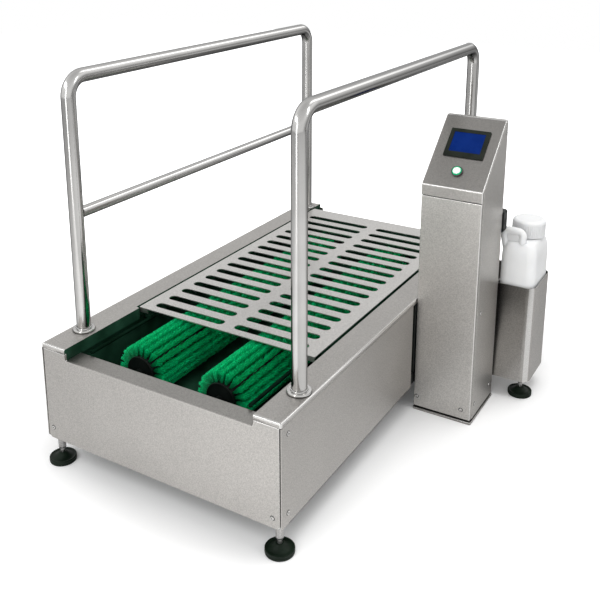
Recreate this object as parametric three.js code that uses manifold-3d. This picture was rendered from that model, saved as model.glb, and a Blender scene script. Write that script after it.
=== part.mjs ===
import * as THREE from "three";
import { mergeVertices } from "three/addons/utils/BufferGeometryUtils.js";
import Module from "manifold-3d";

const wasm = await Module();
wasm.setup();

// Sizes are in millimetres. X runs across the walkway, Y along it and Z up.
// The body's left side is at X 0, its front face at Y 0 and the floor at Z 0.

// Clearances
const seatGap = 0.4;
const seamGap = 1.2;
const overrun = 20;

// Body
const bodyWidth = 848;
const bodyLength = 1575;
const bodyUnderside = 92;
const ledgeTop = 408;
const bodySheet = 3;

// Ledges along both sides of the walkway
const leftLedgeWidth = 79.5;
const leftLedgeWidening = 14.5;
const leftLedgeStepAt = 338;
const rightLedgeWidth = 86;
const ledgeEdgeRadius = 9;
const ledgeSkirt = 14;
const lipOverlap = 1.5;

// Thresholds at both ends of the walkway
const thresholdTop = 371;
const thresholdDepth = 69;
const thresholdLip = 20;
const thresholdEdgeRadius = 4;

// Panels
const endPanelDepth = 8;
const endPanelReveal = 3;
const endPanelChamfer = 5;
const panelEdgeRadius = 1.5;
const sidePanelFlange = 16;
const rightPanelEndGap = 26;
const rightRearPanelOverlap = 7;

// Frame under the body
const frameTube = 40;
const motorRailWidth = 36;
const frontSaddleAt = 420;
const rearSaddleInset = 455;
const saddleThickness = 12;

// Tub
const tubSideFloor = 235;
const tubCentreFloor = 208;
const bulkheadInset = 145;
const restRailDrop = 50;
const restRailWidth = 16;
const restRailFoot = 10;

// Grate
const grateSheet = 4;
const grateFrontAt = 343;
const grateSideGap = 8.5;
const grateRightGap = 12;
const grateEndGap = 4;
const grateTabWidth = 35;
const grateTabDepth = 8;
const grateCornerRadius = 3;
const slotEndShare = 0.98;
const slotWidth = 32;
const slotPitch = 67.6;
const firstSlotAt = 388;
const grateRearMargin = 90;
const leftSlotStart = 126;
const leftSlotLength = 270;
const rightSlotStart = 438;
const rightSlotLength = 265;
const stiffenerWidth = 26;
const stiffenerDepth = 4;

// Brushes
const leftBrushX = 256;
const rightBrushX = 553;
const brushHeight = 312;
const brushFrontAt = 145;
const brushRearInset = 280;
const brushTipRadius = 86;
const brushRootRadius = 50;
const brushSleeveWall = 3.6;
const brushDisc = 6;
const brushShaftRadius = 12.5;
const tuftRootRadius = 8;
const tuftTipRadius = 13;
const tuftSink = 1.8;
const tuftRows = 10;
const tuftsPerRow = 15;

// Drive behind the bulkhead
const bearingRadius = 30;
const bearingLength = 26;
const shaftEndGap = 3;
const pulleyRadius = 42;
const pulleyWidth = 24;
const pulleyGap = 14;
const motorPulleyRadius = 28;
const motorX = 404;
const motorHeight = 148;
const motorRadius = 44;
const motorLength = 130;
const gearboxHalf = 44;
const gearboxLength = 60;
const gearboxOverhang = 6;
const motorShaftRadius = 9;
const motorFootHalf = 34;
const beltThickness = 5;
const beltGap = 0.9;
const beltWellHalf = 150;
const pulleyFlange = 4;

// Water
const sprayPipeRadius = 11;
const sprayPipeInset = 56;
const sprayPipeHeight = 380;
const drainAt = 300;
const drainRadius = 25;
const drainFlange = 12;
const drainFlangeThickness = 4;
const drainDrop = 60;

// Handrails
const railRadius = 22;
const railBendRadius = 60;
const leftRailX = 47;
const leftRailFrontAt = 132;
const leftRailRearInset = 67;
const leftRailHeight = 1197;
const rightRailInset = 41.5;
const rightRailFrontAt = 158.5;
const rightRailRearInset = 154;
const rightRailHeight = 1184;
const midRailRadius = 17.5;
const midRailHeight = 784.5;
const rosetteRadius = 35;
const rosetteHeight = 11;
const rosetteRim = 4;

// Column
const columnWidth = 205;
const columnFrontAt = 862;
const columnDepth = 221;
const columnFoot = 12;
const columnEdgeRadius = 5;
const columnPlinthInset = 8;
const basePlateThickness = 8;
const basePlateEdge = 3;
const coverDepth = 14;
const coverReveal = 2.5;
const coverEdgeRadius = 4;
const linkFrontReach = 12;
const linkRearInset = 13;
const linkDepth = 56;
const linkFoot = 142;

// Head of the column
const headSeamAt = 776;
const headFrontHeight = 38;
const headTopHeight = 1005.6;
const headTopDepth = 18;
const headEdgeRadius = 3;

// Panel on the slope of the head
const screenBezelStart = 36;
const screenBezelWidth = 134;
const screenBezelRise = 115.5;
const screenBezelLength = 109;
const screenBezelThickness = 5;
const screenBezelRadius = 4;
const screenBezelEdge = 1.2;
const screenMarginSide = 14;
const screenMarginLower = 19;
const screenMarginUpper = 13.5;
const screenRecess = 1;
const buttonAcross = 101.5;
const buttonRise = 62;
const buttonBezelRadius = 18.5;
const buttonBezelHeight = 4;
const buttonRingRadius = 15;
const buttonCapRadius = 9.5;
const buttonClearance = 0.4;
const buttonStand = 6;
const buttonDepth = 8;
const buttonTravel = 3;

// Isolator on the back of the column
const isolatorWidth = 58;
const isolatorHeight = 76;
const isolatorDepth = 42;
const isolatorInset = 9;
const isolatorFoot = 611;
const isolatorCornerRadius = 9;
const isolatorEdgeRadius = 4;
const knobRadius = 23;
const knobHeight = 28;
const knobGripWidth = 14;
const knobDiscHeight = 10;
const knobGripEdge = 2.5;
const knobGripShare = 0.9;

// Canister holder
const holderGap = 0.4;
const holderOverhang = 122.6;
const holderColumnGap = 10;
const holderDepth = 202;
const holderFoot = 74;
const holderTop = 427;
const holderSheet = 3;
const holderCornerRadius = 30;
const holderInnerCornerRadius = 6;
const holderDividerInset = 10.4;
const holderBossRadius = 12;
const holderBossHeight = 18;

// Canister
const canisterClearance = 4;
const canisterTop = 576;
const canisterCornerRadius = 30;
const canisterEdgeRadius = 18;
const canisterHandleDepth = 22;
const canisterHandleInset = 10;
const canisterHandleLength = 44;
const canisterHandleHeight = 38;
const canisterGripHeight = 20;
const canisterHandleEdge = 8;
const neckRadius = 46;
const neckHeight = 34;
const neckWall = 4;
const neckDepth = 50;
const capRadius = 57;
const capHeight = 58;
const capFootGap = 3;
const capEdgeRadius = 8;
const capCrown = 8;
const capRibs = 40;
const capRearOffset = 22;

// Feet
const footInsetX = 24.5;
const footInsetY = 29;
const padRadius = 41.5;
const padRim = 7;
const padHeight = 36;
const padNeckRadius = 15;
const stemRadius = 7;
const stemSeat = 10;
const stemSleeveRadius = 11.5;
const sleeveFoot = 45;
const padShoulderShares = [0.72, 0.62];
const stemReach = 60;
const holderFootInset = 39;
const holderFootSetback = 55;

// Numbers of segments
const arcSteps = 2;
const roundSteps = 24;
const railSteps = 18;
const bendSteps = 6;

// Places that follow from the sizes
const rearSaddleAt = bodyLength - rearSaddleInset;
const bulkheadAt = bodyLength - bulkheadInset;
const brushRearAt = bodyLength - brushRearInset;
const gearboxRearAt = bulkheadAt + gearboxOverhang;
const leftRailRearAt = bodyLength - leftRailRearInset;
const rightRailRearAt = bodyLength - rightRailRearInset;
const rightRailX = bodyWidth - rightRailInset;
const rightLedgeInner = bodyWidth - rightLedgeWidth;
const leftNotch = leftLedgeWidth + leftLedgeWidening;
const ledgeUnderside = ledgeTop - bodySheet;
const lipFoot = thresholdTop - lipOverlap;
const panelTop = ledgeTop - ledgeSkirt - seamGap;
const frameFoot = bodyUnderside + bodySheet + seatGap;
const frameOuter = bodySheet + seatGap;
const frameEnd = endPanelDepth + seatGap;
const tubInnerLeft = leftLedgeWidth - bodySheet - seatGap;
const tubInnerRight = rightLedgeInner + bodySheet + seatGap;
const tubInnerEnd = thresholdDepth - bodySheet - seatGap;
const postTop = ledgeUnderside - seatGap;
const postInset = ledgeEdgeRadius - bodySheet;
const tubTop = ledgeTop - ledgeEdgeRadius;
const tubEndTop = thresholdTop - bodySheet - seatGap;
const grateUnderside = ledgeTop - grateSheet;
const restTop = grateUnderside - seatGap;
const grateLeft = leftLedgeWidth + grateSideGap;
const grateRight = rightLedgeInner - grateRightGap;
const grateRearAt = bodyLength - thresholdDepth - grateEndGap;
const slotRows = Math.floor((grateRearAt - grateRearMargin - firstSlotAt) / slotPitch) + 1;
const pulleyFrontAt = bulkheadAt + bodySheet + pulleyGap;
const columnLeft = bodyWidth + seatGap;
const columnRight = columnLeft + columnWidth;
const columnRearAt = columnFrontAt + columnDepth;
const rightPanelEnd = columnFrontAt - rightPanelEndGap;
const rightRearPanelStart = columnRearAt - rightRearPanelOverlap;
const linkFrontAt = columnFrontAt - linkFrontReach;
const linkRearAt = columnRearAt - linkRearInset;
const headFoot = headSeamAt + seamGap;
const slopeFoot = headSeamAt + headFrontHeight;
const slopeTopAt = columnRearAt - headTopDepth;
const slopeAngle = Math.atan2(headTopHeight - slopeFoot, slopeTopAt - columnFrontAt);
const holderLeft = bodyWidth + holderGap;
const holderRightAt = columnRight + holderOverhang;
const holderFrontAt = columnRearAt + holderColumnGap;
const holderDividerAt = columnRight - holderDividerInset;
const holderFootX = holderRightAt - holderFootInset;
const holderFootY = holderFrontAt + holderFootSetback;
const holderRearAt = holderFrontAt + holderDepth;
const canisterLeft = holderDividerAt + holderSheet + canisterClearance;
const canisterRight = holderRightAt - holderSheet - canisterClearance;
const canisterFrontAt = holderFrontAt + holderSheet + canisterClearance;
const canisterRearAt = holderRearAt - holderSheet - canisterClearance;
const canisterFoot = holderFoot + holderSheet + seatGap;
const capX = (canisterLeft + canisterRight) / 2;
const capY = (canisterFrontAt + canisterRearAt) / 2 + capRearOffset;
const footXs = [footInsetX, bodyWidth - footInsetX];
const footYs = [footInsetY, bodyLength - footInsetY];

const motorRailTop = motorHeight - gearboxHalf - seatGap;
const motorShaftEnd = pulleyFrontAt + pulleyWidth + shaftEndGap;
const rearBearingAt = bulkheadAt - seatGap - bearingLength;
const restFrontAt = grateFrontAt + grateTabWidth;
const drainX = (tubInnerLeft + tubInnerRight) / 2;
const isolatorX = columnRight - isolatorInset - isolatorWidth / 2;
const isolatorZ = isolatorFoot + isolatorHeight / 2;
const stemTop = sleeveFoot + stemReach;
const buttonBoreRadius = buttonRingRadius + buttonClearance;
const buttonBoreDepth = buttonDepth + buttonTravel + buttonClearance;

// Directions of the two outline axes and of the length, for a prism along each axis
const axisBases = {
  x: [new THREE.Vector3(0, 1, 0), new THREE.Vector3(0, 0, 1), new THREE.Vector3(1, 0, 0)],
  y: [new THREE.Vector3(1, 0, 0), new THREE.Vector3(0, 0, 1), new THREE.Vector3(0, -1, 0)],
  z: [new THREE.Vector3(1, 0, 0), new THREE.Vector3(0, 1, 0), new THREE.Vector3(0, 0, 1)],
};

// Turns a three.js geometry into a closed solid.
function solidOf(geometry) {
  const bare = geometry.clone();
  bare.deleteAttribute("normal");
  bare.deleteAttribute("uv");
  const merged = mergeVertices(bare);
  const vertProperties = new Float32Array(merged.getAttribute("position").array);
  const triVerts = new Uint32Array(merged.index.array);
  return new wasm.Manifold(new wasm.Mesh({ numProp: 3, vertProperties, triVerts }));
}

function join(solids) {
  return wasm.Manifold.union(solids);
}

function block(x0, x1, y0, y1, z0, z1) {
  const geometry = new THREE.BoxGeometry(x1 - x0, y1 - y0, z1 - z0);
  geometry.translate((x0 + x1) / 2, (y0 + y1) / 2, (z0 + z1) / 2);
  return solidOf(geometry);
}

// Extrudes an outline along an axis, with its end edges rounded where an edge radius is given.
function prism(axis, outline, start, end, edge = 0, steps = arcSteps) {
  const geometry = new THREE.ExtrudeGeometry(outline, {
    depth: end - start - 2 * edge,
    bevelEnabled: edge > 0,
    bevelThickness: edge,
    bevelSize: edge,
    bevelOffset: -edge,
    bevelSegments: 3,
    curveSegments: steps,
  });
  const placing = new THREE.Matrix4().makeBasis(...axisBases[axis]);
  const along = axis === "y" ? end - edge : start + edge;
  placing.setPosition(
    axis === "x" ? along : 0,
    axis === "y" ? along : 0,
    axis === "z" ? along : 0,
  );
  geometry.applyMatrix4(placing);
  return solidOf(geometry);
}

function polygon(corners) {
  return new THREE.Shape(corners.map(([a, b]) => new THREE.Vector2(a, b)));
}

function circleOutline(a, b, radius) {
  const outline = new THREE.Shape();
  outline.absarc(a, b, radius, 0, 2 * Math.PI, false);
  return outline;
}

// A rectangle whose corners have the radii given for lower left, lower right, upper right, upper left.
function roundedOutline(a0, a1, b0, b1, radii) {
  const [lowerLeft, lowerRight, upperRight, upperLeft] = radii;
  const outline = new THREE.Shape();
  outline.moveTo(a0 + lowerLeft, b0);
  outline.lineTo(a1 - lowerRight, b0);
  if (lowerRight > 0) {
    outline.absarc(a1 - lowerRight, b0 + lowerRight, lowerRight, -Math.PI / 2, 0, false);
  }
  outline.lineTo(a1, b1 - upperRight);
  if (upperRight > 0) {
    outline.absarc(a1 - upperRight, b1 - upperRight, upperRight, 0, Math.PI / 2, false);
  }
  outline.lineTo(a0 + upperLeft, b1);
  if (upperLeft > 0) {
    outline.absarc(a0 + upperLeft, b1 - upperLeft, upperLeft, Math.PI / 2, Math.PI, false);
  }
  outline.lineTo(a0, b0 + lowerLeft);
  if (lowerLeft > 0) {
    outline.absarc(a0 + lowerLeft, b0 + lowerLeft, lowerLeft, Math.PI, 1.5 * Math.PI, false);
  }
  return outline;
}

function evenRadii(radius) {
  return [radius, radius, radius, radius];
}

function barAlong(axis, a, b, radius, start, end, steps = roundSteps) {
  return prism(axis, circleOutline(a, b, radius), start, end, 0, steps / 2);
}

// Turns a closed profile of [radius, height] pairs about a vertical axis.
function turned(profile, x, y, z, steps = roundSteps) {
  const points = profile.map(([radius, height]) => new THREE.Vector2(radius, height));
  points.push(points[0].clone());
  const geometry = new THREE.LatheGeometry(points, steps);
  geometry.rotateX(Math.PI / 2);
  geometry.translate(x, y, z);
  return solidOf(geometry);
}

// Turns a closed profile of [radius, distance] pairs about an axis along Y.
function turnedAlongY(profile, x, z, steps = roundSteps) {
  const points = profile.map(([radius, distance]) => new THREE.Vector2(radius, distance));
  points.push(points[0].clone());
  const geometry = new THREE.LatheGeometry(points, steps);
  geometry.translate(x, 0, 0);
  const placed = solidOf(geometry);
  return placed.translate([0, 0, z]);
}

// A path through corner points with rounded corners, sampled where it bends.
class BentPath extends THREE.Curve {
  constructor(corners, radius) {
    super();
    this.samples = [corners[0].clone()];
    this.directions = [corners[1].clone().sub(corners[0]).normalize()];
    for (let i = 1; i < corners.length - 1; i += 1) {
      this.addBend(corners[i - 1], corners[i], corners[i + 1], radius);
    }
    const last = corners[corners.length - 1];
    this.samples.push(last.clone());
    this.directions.push(last.clone().sub(corners[corners.length - 2]).normalize());
  }

  addBend(before, corner, after, radius) {
    const into = corner.clone().sub(before).normalize();
    const out = after.clone().sub(corner).normalize();
    const turn = into.angleTo(out);
    const reach = radius * Math.tan(turn / 2);
    const inward = out.clone().addScaledVector(into, -out.dot(into)).normalize();
    const centre = corner.clone().addScaledVector(into, -reach).addScaledVector(inward, radius);
    for (let step = 0; step <= bendSteps; step += 1) {
      const angle = (turn * step) / bendSteps;
      const sample = centre.clone();
      sample.addScaledVector(inward, -radius * Math.cos(angle));
      sample.addScaledVector(into, radius * Math.sin(angle));
      const direction = into.clone().multiplyScalar(Math.cos(angle));
      direction.addScaledVector(inward, Math.sin(angle));
      this.samples.push(sample);
      this.directions.push(direction);
    }
  }

  get steps() {
    return this.samples.length - 1;
  }

  getPointAt(share) {
    return this.samples[Math.round(share * this.steps)].clone();
  }

  getPoint(share) {
    return this.getPointAt(share);
  }

  getTangentAt(share) {
    return this.directions[Math.round(share * this.steps)].clone();
  }
}

function bentTube(corners, bendRadius, radius) {
  const path = new BentPath(corners.map((corner) => new THREE.Vector3(...corner)), bendRadius);
  const geometry = new THREE.ExtrudeGeometry(circleOutline(0, 0, radius), {
    steps: path.steps,
    extrudePath: path,
    bevelEnabled: false,
    curveSegments: railSteps / 2,
  });
  return solidOf(geometry);
}

// Copies a piece of the front end to the rear end.
function toRear(solid) {
  return solid.mirror([0, 1, 0]).translate([0, bodyLength, 0]);
}

// Copies a piece of the left side to the right side.
function toRight(solid) {
  return solid.mirror([1, 0, 0]).translate([bodyWidth, 0, 0]);
}

// A ledge strip from the outer side inwards, with a short skirt outside and a deep lip inside.
function ledgeStrip(width, start, end, inset) {
  const outer = inset;
  const inner = width - inset;
  const top = ledgeTop - inset;
  const radius = ledgeEdgeRadius - inset;
  const skirtFoot = inset > 0 ? lipFoot - overrun : ledgeTop - ledgeSkirt;
  const innerFoot = inset > 0 ? lipFoot - overrun : lipFoot;
  const across = new THREE.Shape();
  across.moveTo(outer, skirtFoot);
  across.lineTo(inner - bodySheet, skirtFoot);
  across.lineTo(inner - bodySheet, innerFoot);
  across.lineTo(inner, innerFoot);
  across.lineTo(inner, top - radius);
  across.absarc(inner - radius, top - radius, radius, 0, Math.PI / 2, false);
  across.lineTo(outer + radius, top);
  across.absarc(outer + radius, top - radius, radius, Math.PI / 2, Math.PI, false);
  const first = start + inset;
  const last = end - inset;
  const along = roundedOutline(first, last, innerFoot, top, [0, 0, radius, radius]);
  return prism("y", across, first, last).intersect(prism("x", along, outer, inner));
}

function ledge(width, widening) {
  let outside = ledgeStrip(width, 0, bodyLength, 0);
  let inside = ledgeStrip(width, 0, bodyLength, bodySheet);
  if (widening > 0) {
    outside = outside.add(ledgeStrip(width + widening, 0, leftLedgeStepAt, 0));
    inside = inside.add(ledgeStrip(width + widening, 0, leftLedgeStepAt, bodySheet));
  }
  const reliefTop = ledgeTop - ledgeSkirt;
  const relief = block(-overrun, bodyWidth, -overrun, frameEnd, lipFoot - overrun, reliefTop);
  return outside.subtract(inside).subtract(relief).subtract(toRear(relief));
}

function endPanelOutline(inset) {
  const left = bodySheet + endPanelReveal + inset;
  const right = bodyWidth - bodySheet - endPanelReveal - inset;
  const foot = bodyUnderside + inset;
  const top = panelTop - inset;
  return polygon([
    [left, foot + endPanelChamfer],
    [left + endPanelChamfer, foot],
    [right - endPanelChamfer, foot],
    [right, foot + endPanelChamfer],
    [right, top],
    [rightLedgeInner + inset, top],
    [rightLedgeInner + inset, thresholdTop - inset],
    [leftNotch - inset, thresholdTop - inset],
    [leftNotch - inset, top],
    [left, top],
  ]);
}

function endPanel() {
  const cutEnd = endPanelDepth + overrun;
  const outside = prism("y", endPanelOutline(0), 0, endPanelDepth + panelEdgeRadius, panelEdgeRadius);
  const inside = prism("y", endPanelOutline(bodySheet), bodySheet, cutEnd);
  const behind = block(-overrun, bodyWidth + overrun, endPanelDepth, cutEnd, 0, ledgeTop);
  return outside.subtract(inside).subtract(behind);
}

function threshold() {
  const front = endPanelDepth + seamGap;
  const lipEnd = thresholdTop - bodySheet - thresholdLip;
  const outer = roundedOutline(front, thresholdDepth, lipEnd, thresholdTop, [0, 0, thresholdEdgeRadius, 0]);
  const sheetUnderside = thresholdTop - bodySheet;
  const under = block(0, bodyWidth, 0, thresholdDepth - bodySheet, lipEnd - overrun, sheetUnderside);
  return prism("x", outer, leftNotch + seatGap, rightLedgeInner - seatGap).subtract(under);
}

function sidePanel(start, end) {
  const flangeStart = Math.max(start, frameEnd);
  const flangeEnd = Math.min(end, bodyLength - frameEnd);
  const plate = block(0, bodySheet, start, end, bodyUnderside, panelTop);
  const flangeTop = bodyUnderside + bodySheet;
  const footFlange = block(0, sidePanelFlange, flangeStart, flangeEnd, bodyUnderside, flangeTop);
  let panel = plate.add(footFlange);
  for (const y of footYs) {
    const reach = stemSleeveRadius + seatGap;
    const low = bodyUnderside - overrun;
    const high = bodyUnderside + overrun;
    panel = panel.subtract(barAlong("z", footInsetX, y, reach, low, high));
  }
  return panel;
}

function baseFrame() {
  const top = frameFoot + frameTube;
  const right = bodyWidth - frameOuter;
  const rear = bodyLength - frameEnd;
  const ring = block(frameOuter, right, frameEnd, rear, frameFoot, top).subtract(
    block(
      frameOuter + frameTube,
      right - frameTube,
      frameEnd + frameTube,
      rear - frameTube,
      frameFoot - overrun,
      top + overrun,
    ),
  );
  const parts = [ring];
  for (const x of [frameOuter + postInset, right - frameTube - postInset]) {
    for (const y of [frameEnd + postInset, rear - frameTube - postInset]) {
      parts.push(block(x, x + frameTube, y, y + frameTube, frameFoot, postTop));
    }
  }
  const tubSeat = prism("y", tubOutline(bodySheet + seatGap), frameEnd, rear);
  for (const y of [frontSaddleAt, rearSaddleAt]) {
    const saddle = block(frameOuter, right, y, y + saddleThickness, frameFoot, tubSideFloor);
    parts.push(saddle.subtract(tubSeat));
  }
  const railHalf = motorRailWidth / 2;
  for (const y of [gearboxRearAt - gearboxLength / 2, gearboxRearAt - gearboxLength - motorLength / 2]) {
    parts.push(block(frameOuter, right, y - railHalf, y + railHalf, frameFoot, motorRailTop));
  }
  for (const x of footXs) {
    for (const y of footYs) {
      parts.push(barAlong("z", x, y, stemSleeveRadius, sleeveFoot, top));
    }
  }
  let frame = join(parts);
  for (const x of footXs) {
    for (const y of footYs) {
      frame = frame.subtract(barAlong("z", x, y, stemRadius + seatGap, 0, stemTop + seatGap));
    }
  }
  return frame;
}

// The outline across the tub: straight sides and a floor that falls to the middle.
function tubOutline(wall) {
  const middle = (tubInnerLeft + tubInnerRight) / 2;
  return polygon([
    [tubInnerLeft - wall, tubSideFloor - wall],
    [middle, tubCentreFloor - wall],
    [tubInnerRight + wall, tubSideFloor - wall],
    [tubInnerRight + wall, wall > 0 ? tubTop : tubTop + overrun],
    [tubInnerLeft - wall, wall > 0 ? tubTop : tubTop + overrun],
  ]);
}

// A folded rail inside the tub wall that carries one edge of the grate.
function restRail(wall, edge, inward) {
  const foot = restTop - restRailDrop;
  const inner = edge + inward * restRailWidth;
  const root = wall - (inward * bodySheet) / 2;
  const [footStart, footEnd] = [Math.min(root, inner), Math.max(root, inner)];
  const [webStart, webEnd] = [Math.min(edge, inner), Math.max(edge, inner)];
  const low = block(footStart, footEnd, restFrontAt, bulkheadAt, foot, foot + restRailFoot);
  const high = block(webStart, webEnd, restFrontAt, bulkheadAt, foot, restTop);
  return low.add(high);
}

function tub() {
  const rearEnd = bodyLength - tubInnerEnd;
  let shell = prism("y", tubOutline(bodySheet), tubInnerEnd - bodySheet, rearEnd + bodySheet);
  shell = shell.subtract(prism("y", tubOutline(0), tubInnerEnd, bulkheadAt));
  shell = shell.subtract(prism("y", tubOutline(0), bulkheadAt + bodySheet, rearEnd));
  const frontCut = block(0, bodyWidth, 0, thresholdDepth, tubEndTop, ledgeTop);
  shell = shell.subtract(frontCut).subtract(toRear(frontCut));
  const cutStart = bulkheadAt - overrun;
  const cutEnd = bulkheadAt + overrun;
  const lipCut = lipFoot - seatGap;
  const bulkheadCut = join([
    block(tubInnerLeft, tubInnerRight, cutStart, cutEnd, restTop, ledgeTop),
    block(tubInnerLeft, leftLedgeWidth + seatGap, cutStart, cutEnd, lipCut, ledgeTop),
    block(rightLedgeInner - seatGap, tubInnerRight, cutStart, cutEnd, lipCut, ledgeTop),
  ]);
  shell = shell.subtract(bulkheadCut);
  const beltWell = block(
    motorX - beltWellHalf,
    motorX + beltWellHalf,
    bulkheadAt + bodySheet,
    rearEnd,
    bodyUnderside,
    tubSideFloor + overrun,
  );
  shell = shell.subtract(beltWell);
  shell = shell.add(restRail(tubInnerLeft, grateLeft, 1)).add(restRail(tubInnerRight, grateRight, -1));
  for (const x of [leftBrushX, rightBrushX]) {
    const bore = brushShaftRadius + seatGap;
    shell = shell.subtract(barAlong("y", x, brushHeight, bore, bulkheadAt - overrun, bulkheadAt + overrun));
  }
  return shell;
}

function grate() {
  const sheet = prism(
    "z",
    roundedOutline(grateLeft, grateRight, grateFrontAt, grateRearAt, evenRadii(grateCornerRadius)),
    grateUnderside,
    ledgeTop,
  );
  const slots = [];
  for (let row = 0; row < slotRows; row += 1) {
    const y = firstSlotAt + row * slotPitch;
    for (const [start, length] of [[leftSlotStart, leftSlotLength], [rightSlotStart, rightSlotLength]]) {
      const half = slotWidth / 2;
      const ends = evenRadii(half * slotEndShare);
      const outline = roundedOutline(start, start + length, y - half, y + half, ends);
      slots.push(prism("z", outline, grateUnderside - overrun, ledgeTop + overrun));
    }
  }
  const parts = [sheet.subtract(join(slots))];
  const foot = ledgeTop - grateTabDepth;
  const middle = (leftSlotStart + leftSlotLength + rightSlotStart) / 2;
  const half = stiffenerWidth / 2;
  for (const y of [grateFrontAt, grateRearAt - grateSheet]) {
    for (const x of [grateLeft, grateRight - grateTabWidth]) {
      parts.push(block(x, x + grateTabWidth, y, y + grateSheet, foot, ledgeTop - grateSheet / 2));
    }
  }
  parts.push(
    block(
      middle - half,
      middle + half,
      grateFrontAt + grateTabWidth,
      bulkheadAt - seatGap,
      grateUnderside - stiffenerDepth,
      ledgeTop - grateSheet / 2,
    ),
  );
  return join(parts);
}

function brushCore(x) {
  const inner = brushRootRadius - brushSleeveWall - seatGap;
  const shaftFront = tubInnerEnd + shaftEndGap;
  const shaftRear = pulleyFrontAt + pulleyWidth + shaftEndGap;
  return turnedAlongY([
    [0, shaftFront],
    [brushShaftRadius, shaftFront],
    [brushShaftRadius, brushFrontAt],
    [brushRootRadius, brushFrontAt],
    [brushRootRadius, brushFrontAt + brushDisc],
    [inner, brushFrontAt + brushDisc],
    [inner, brushRearAt - brushDisc],
    [brushRootRadius, brushRearAt - brushDisc],
    [brushRootRadius, brushRearAt],
    [brushShaftRadius, brushRearAt],
    [brushShaftRadius, shaftRear],
    [0, shaftRear],
  ], x, brushHeight);
}

// A sleeve with radial tufts in rows, each row shifted by half a step from the one before.
function brushTufts(x) {
  const start = brushFrontAt + brushDisc + seatGap;
  const end = brushRearAt - brushDisc - seatGap;
  const inner = brushRootRadius - brushSleeveWall;
  const sleeve = turnedAlongY([
    [inner, start],
    [brushRootRadius, start],
    [brushRootRadius, end],
    [inner, end],
  ], 0, 0);
  const foot = brushRootRadius - tuftSink;
  const length = brushTipRadius - foot;
  const step = (end - start) / (tuftsPerRow + 1 / 2);
  const parts = [sleeve];
  for (let row = 0; row < tuftRows; row += 1) {
    const shift = row % 2 === 0 ? 1 / 2 : 1;
    for (let place = 0; place < tuftsPerRow; place += 1) {
      const geometry = new THREE.CylinderGeometry(tuftTipRadius, tuftRootRadius, length, 4, 1);
      geometry.translate(0, foot + length / 2, 0);
      geometry.rotateX(Math.PI / 2);
      geometry.rotateY((2 * Math.PI * row) / tuftRows);
      geometry.translate(0, start + step * (place + shift), 0);
      parts.push(solidOf(geometry));
    }
  }
  return join(parts).translate([x, 0, brushHeight]);
}

function bearing(x, start) {
  const end = start + bearingLength;
  const outside = barAlong("y", x, brushHeight, bearingRadius, start, end);
  const bore = brushShaftRadius + seatGap;
  return outside.subtract(barAlong("y", x, brushHeight, bore, start - overrun, end + overrun));
}

function pulley(x, z, radius, bore) {
  const rearAt = pulleyFrontAt + pulleyWidth;
  const groove = radius - beltThickness;
  const middle = pulleyFrontAt + pulleyWidth / 2;
  const flank = pulleyWidth / 2 - pulleyFlange;
  const outside = turnedAlongY([
    [0, pulleyFrontAt],
    [radius, pulleyFrontAt],
    [radius, middle - flank],
    [groove, middle - flank],
    [groove, middle + flank],
    [radius, middle + flank],
    [radius, rearAt],
    [0, rearAt],
  ], x, z);
  return outside.subtract(barAlong("y", x, z, bore + seatGap, pulleyFrontAt - overrun, rearAt + overrun));
}

// The loop that runs round three wheels, as the outline at a distance outside their grooves.
function beltOutline(distance) {
  const wheels = [
    [leftBrushX, brushHeight, pulleyRadius - beltThickness + distance],
    [motorX, motorHeight, motorPulleyRadius - beltThickness + distance],
    [rightBrushX, brushHeight, pulleyRadius - beltThickness + distance],
  ];
  const outline = new THREE.Shape();
  const turns = wheels.map(([x0, z0, r0], i) => {
    const [x1, z1, r1] = wheels[(i + 1) % wheels.length];
    const heading = Math.atan2(z1 - z0, x1 - x0);
    return heading - Math.acos((r0 - r1) / Math.hypot(x1 - x0, z1 - z0));
  });
  wheels.forEach(([x, z, radius], i) => {
    const from = turns[(i + wheels.length - 1) % wheels.length];
    outline.absarc(x, z, radius, from, turns[i], false);
  });
  outline.closePath();
  return outline;
}

function driveBelt() {
  const middle = pulleyFrontAt + pulleyWidth / 2;
  const half = pulleyWidth / 2 - pulleyFlange - seatGap;
  const outside = prism("y", beltOutline(beltThickness), middle - half, middle + half, 0, 2 * arcSteps);
  const inside = prism("y", beltOutline(beltGap), middle - overrun, middle + overrun, 0, 2 * arcSteps);
  return outside.subtract(inside);
}

function gearMotor() {
  const gearboxFrontAt = gearboxRearAt - gearboxLength;
  const motorFrontAt = gearboxFrontAt - motorLength;
  const base = motorHeight - gearboxHalf;
  const left = motorX - gearboxHalf;
  const right = motorX + gearboxHalf;
  const parts = [
    block(left, right, gearboxFrontAt, gearboxRearAt, base, motorHeight + gearboxHalf),
    barAlong("y", motorX, motorHeight, motorRadius, motorFrontAt, gearboxFrontAt + gearboxLength / 2),
    block(motorX - motorFootHalf, motorX + motorFootHalf, motorFrontAt, gearboxRearAt, base, motorHeight),
  ];
  return join(parts);
}

function motorPulley() {
  const shaftStart = gearboxRearAt + seatGap;
  const shaft = barAlong("y", motorX, motorHeight, motorShaftRadius, shaftStart, motorShaftEnd);
  return pulley(motorX, motorHeight, motorPulleyRadius, 0).add(shaft);
}

function sprayPipe(x) {
  const start = thresholdDepth + seatGap;
  return barAlong("y", x, sprayPipeHeight, sprayPipeRadius, start, bulkheadAt - seatGap, railSteps);
}

// A closed drain plug under the lowest line of the tub.
function drainPlug() {
  const top = tubCentreFloor - bodySheet - seatGap;
  const flangeFoot = top - drainFlangeThickness;
  const flange = barAlong("z", drainX, drainAt, drainRadius + drainFlange, flangeFoot, top);
  const stub = barAlong("z", drainX, drainAt, drainRadius, top - drainDrop, top - drainFlangeThickness / 2);
  return flange.add(stub);
}

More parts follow.
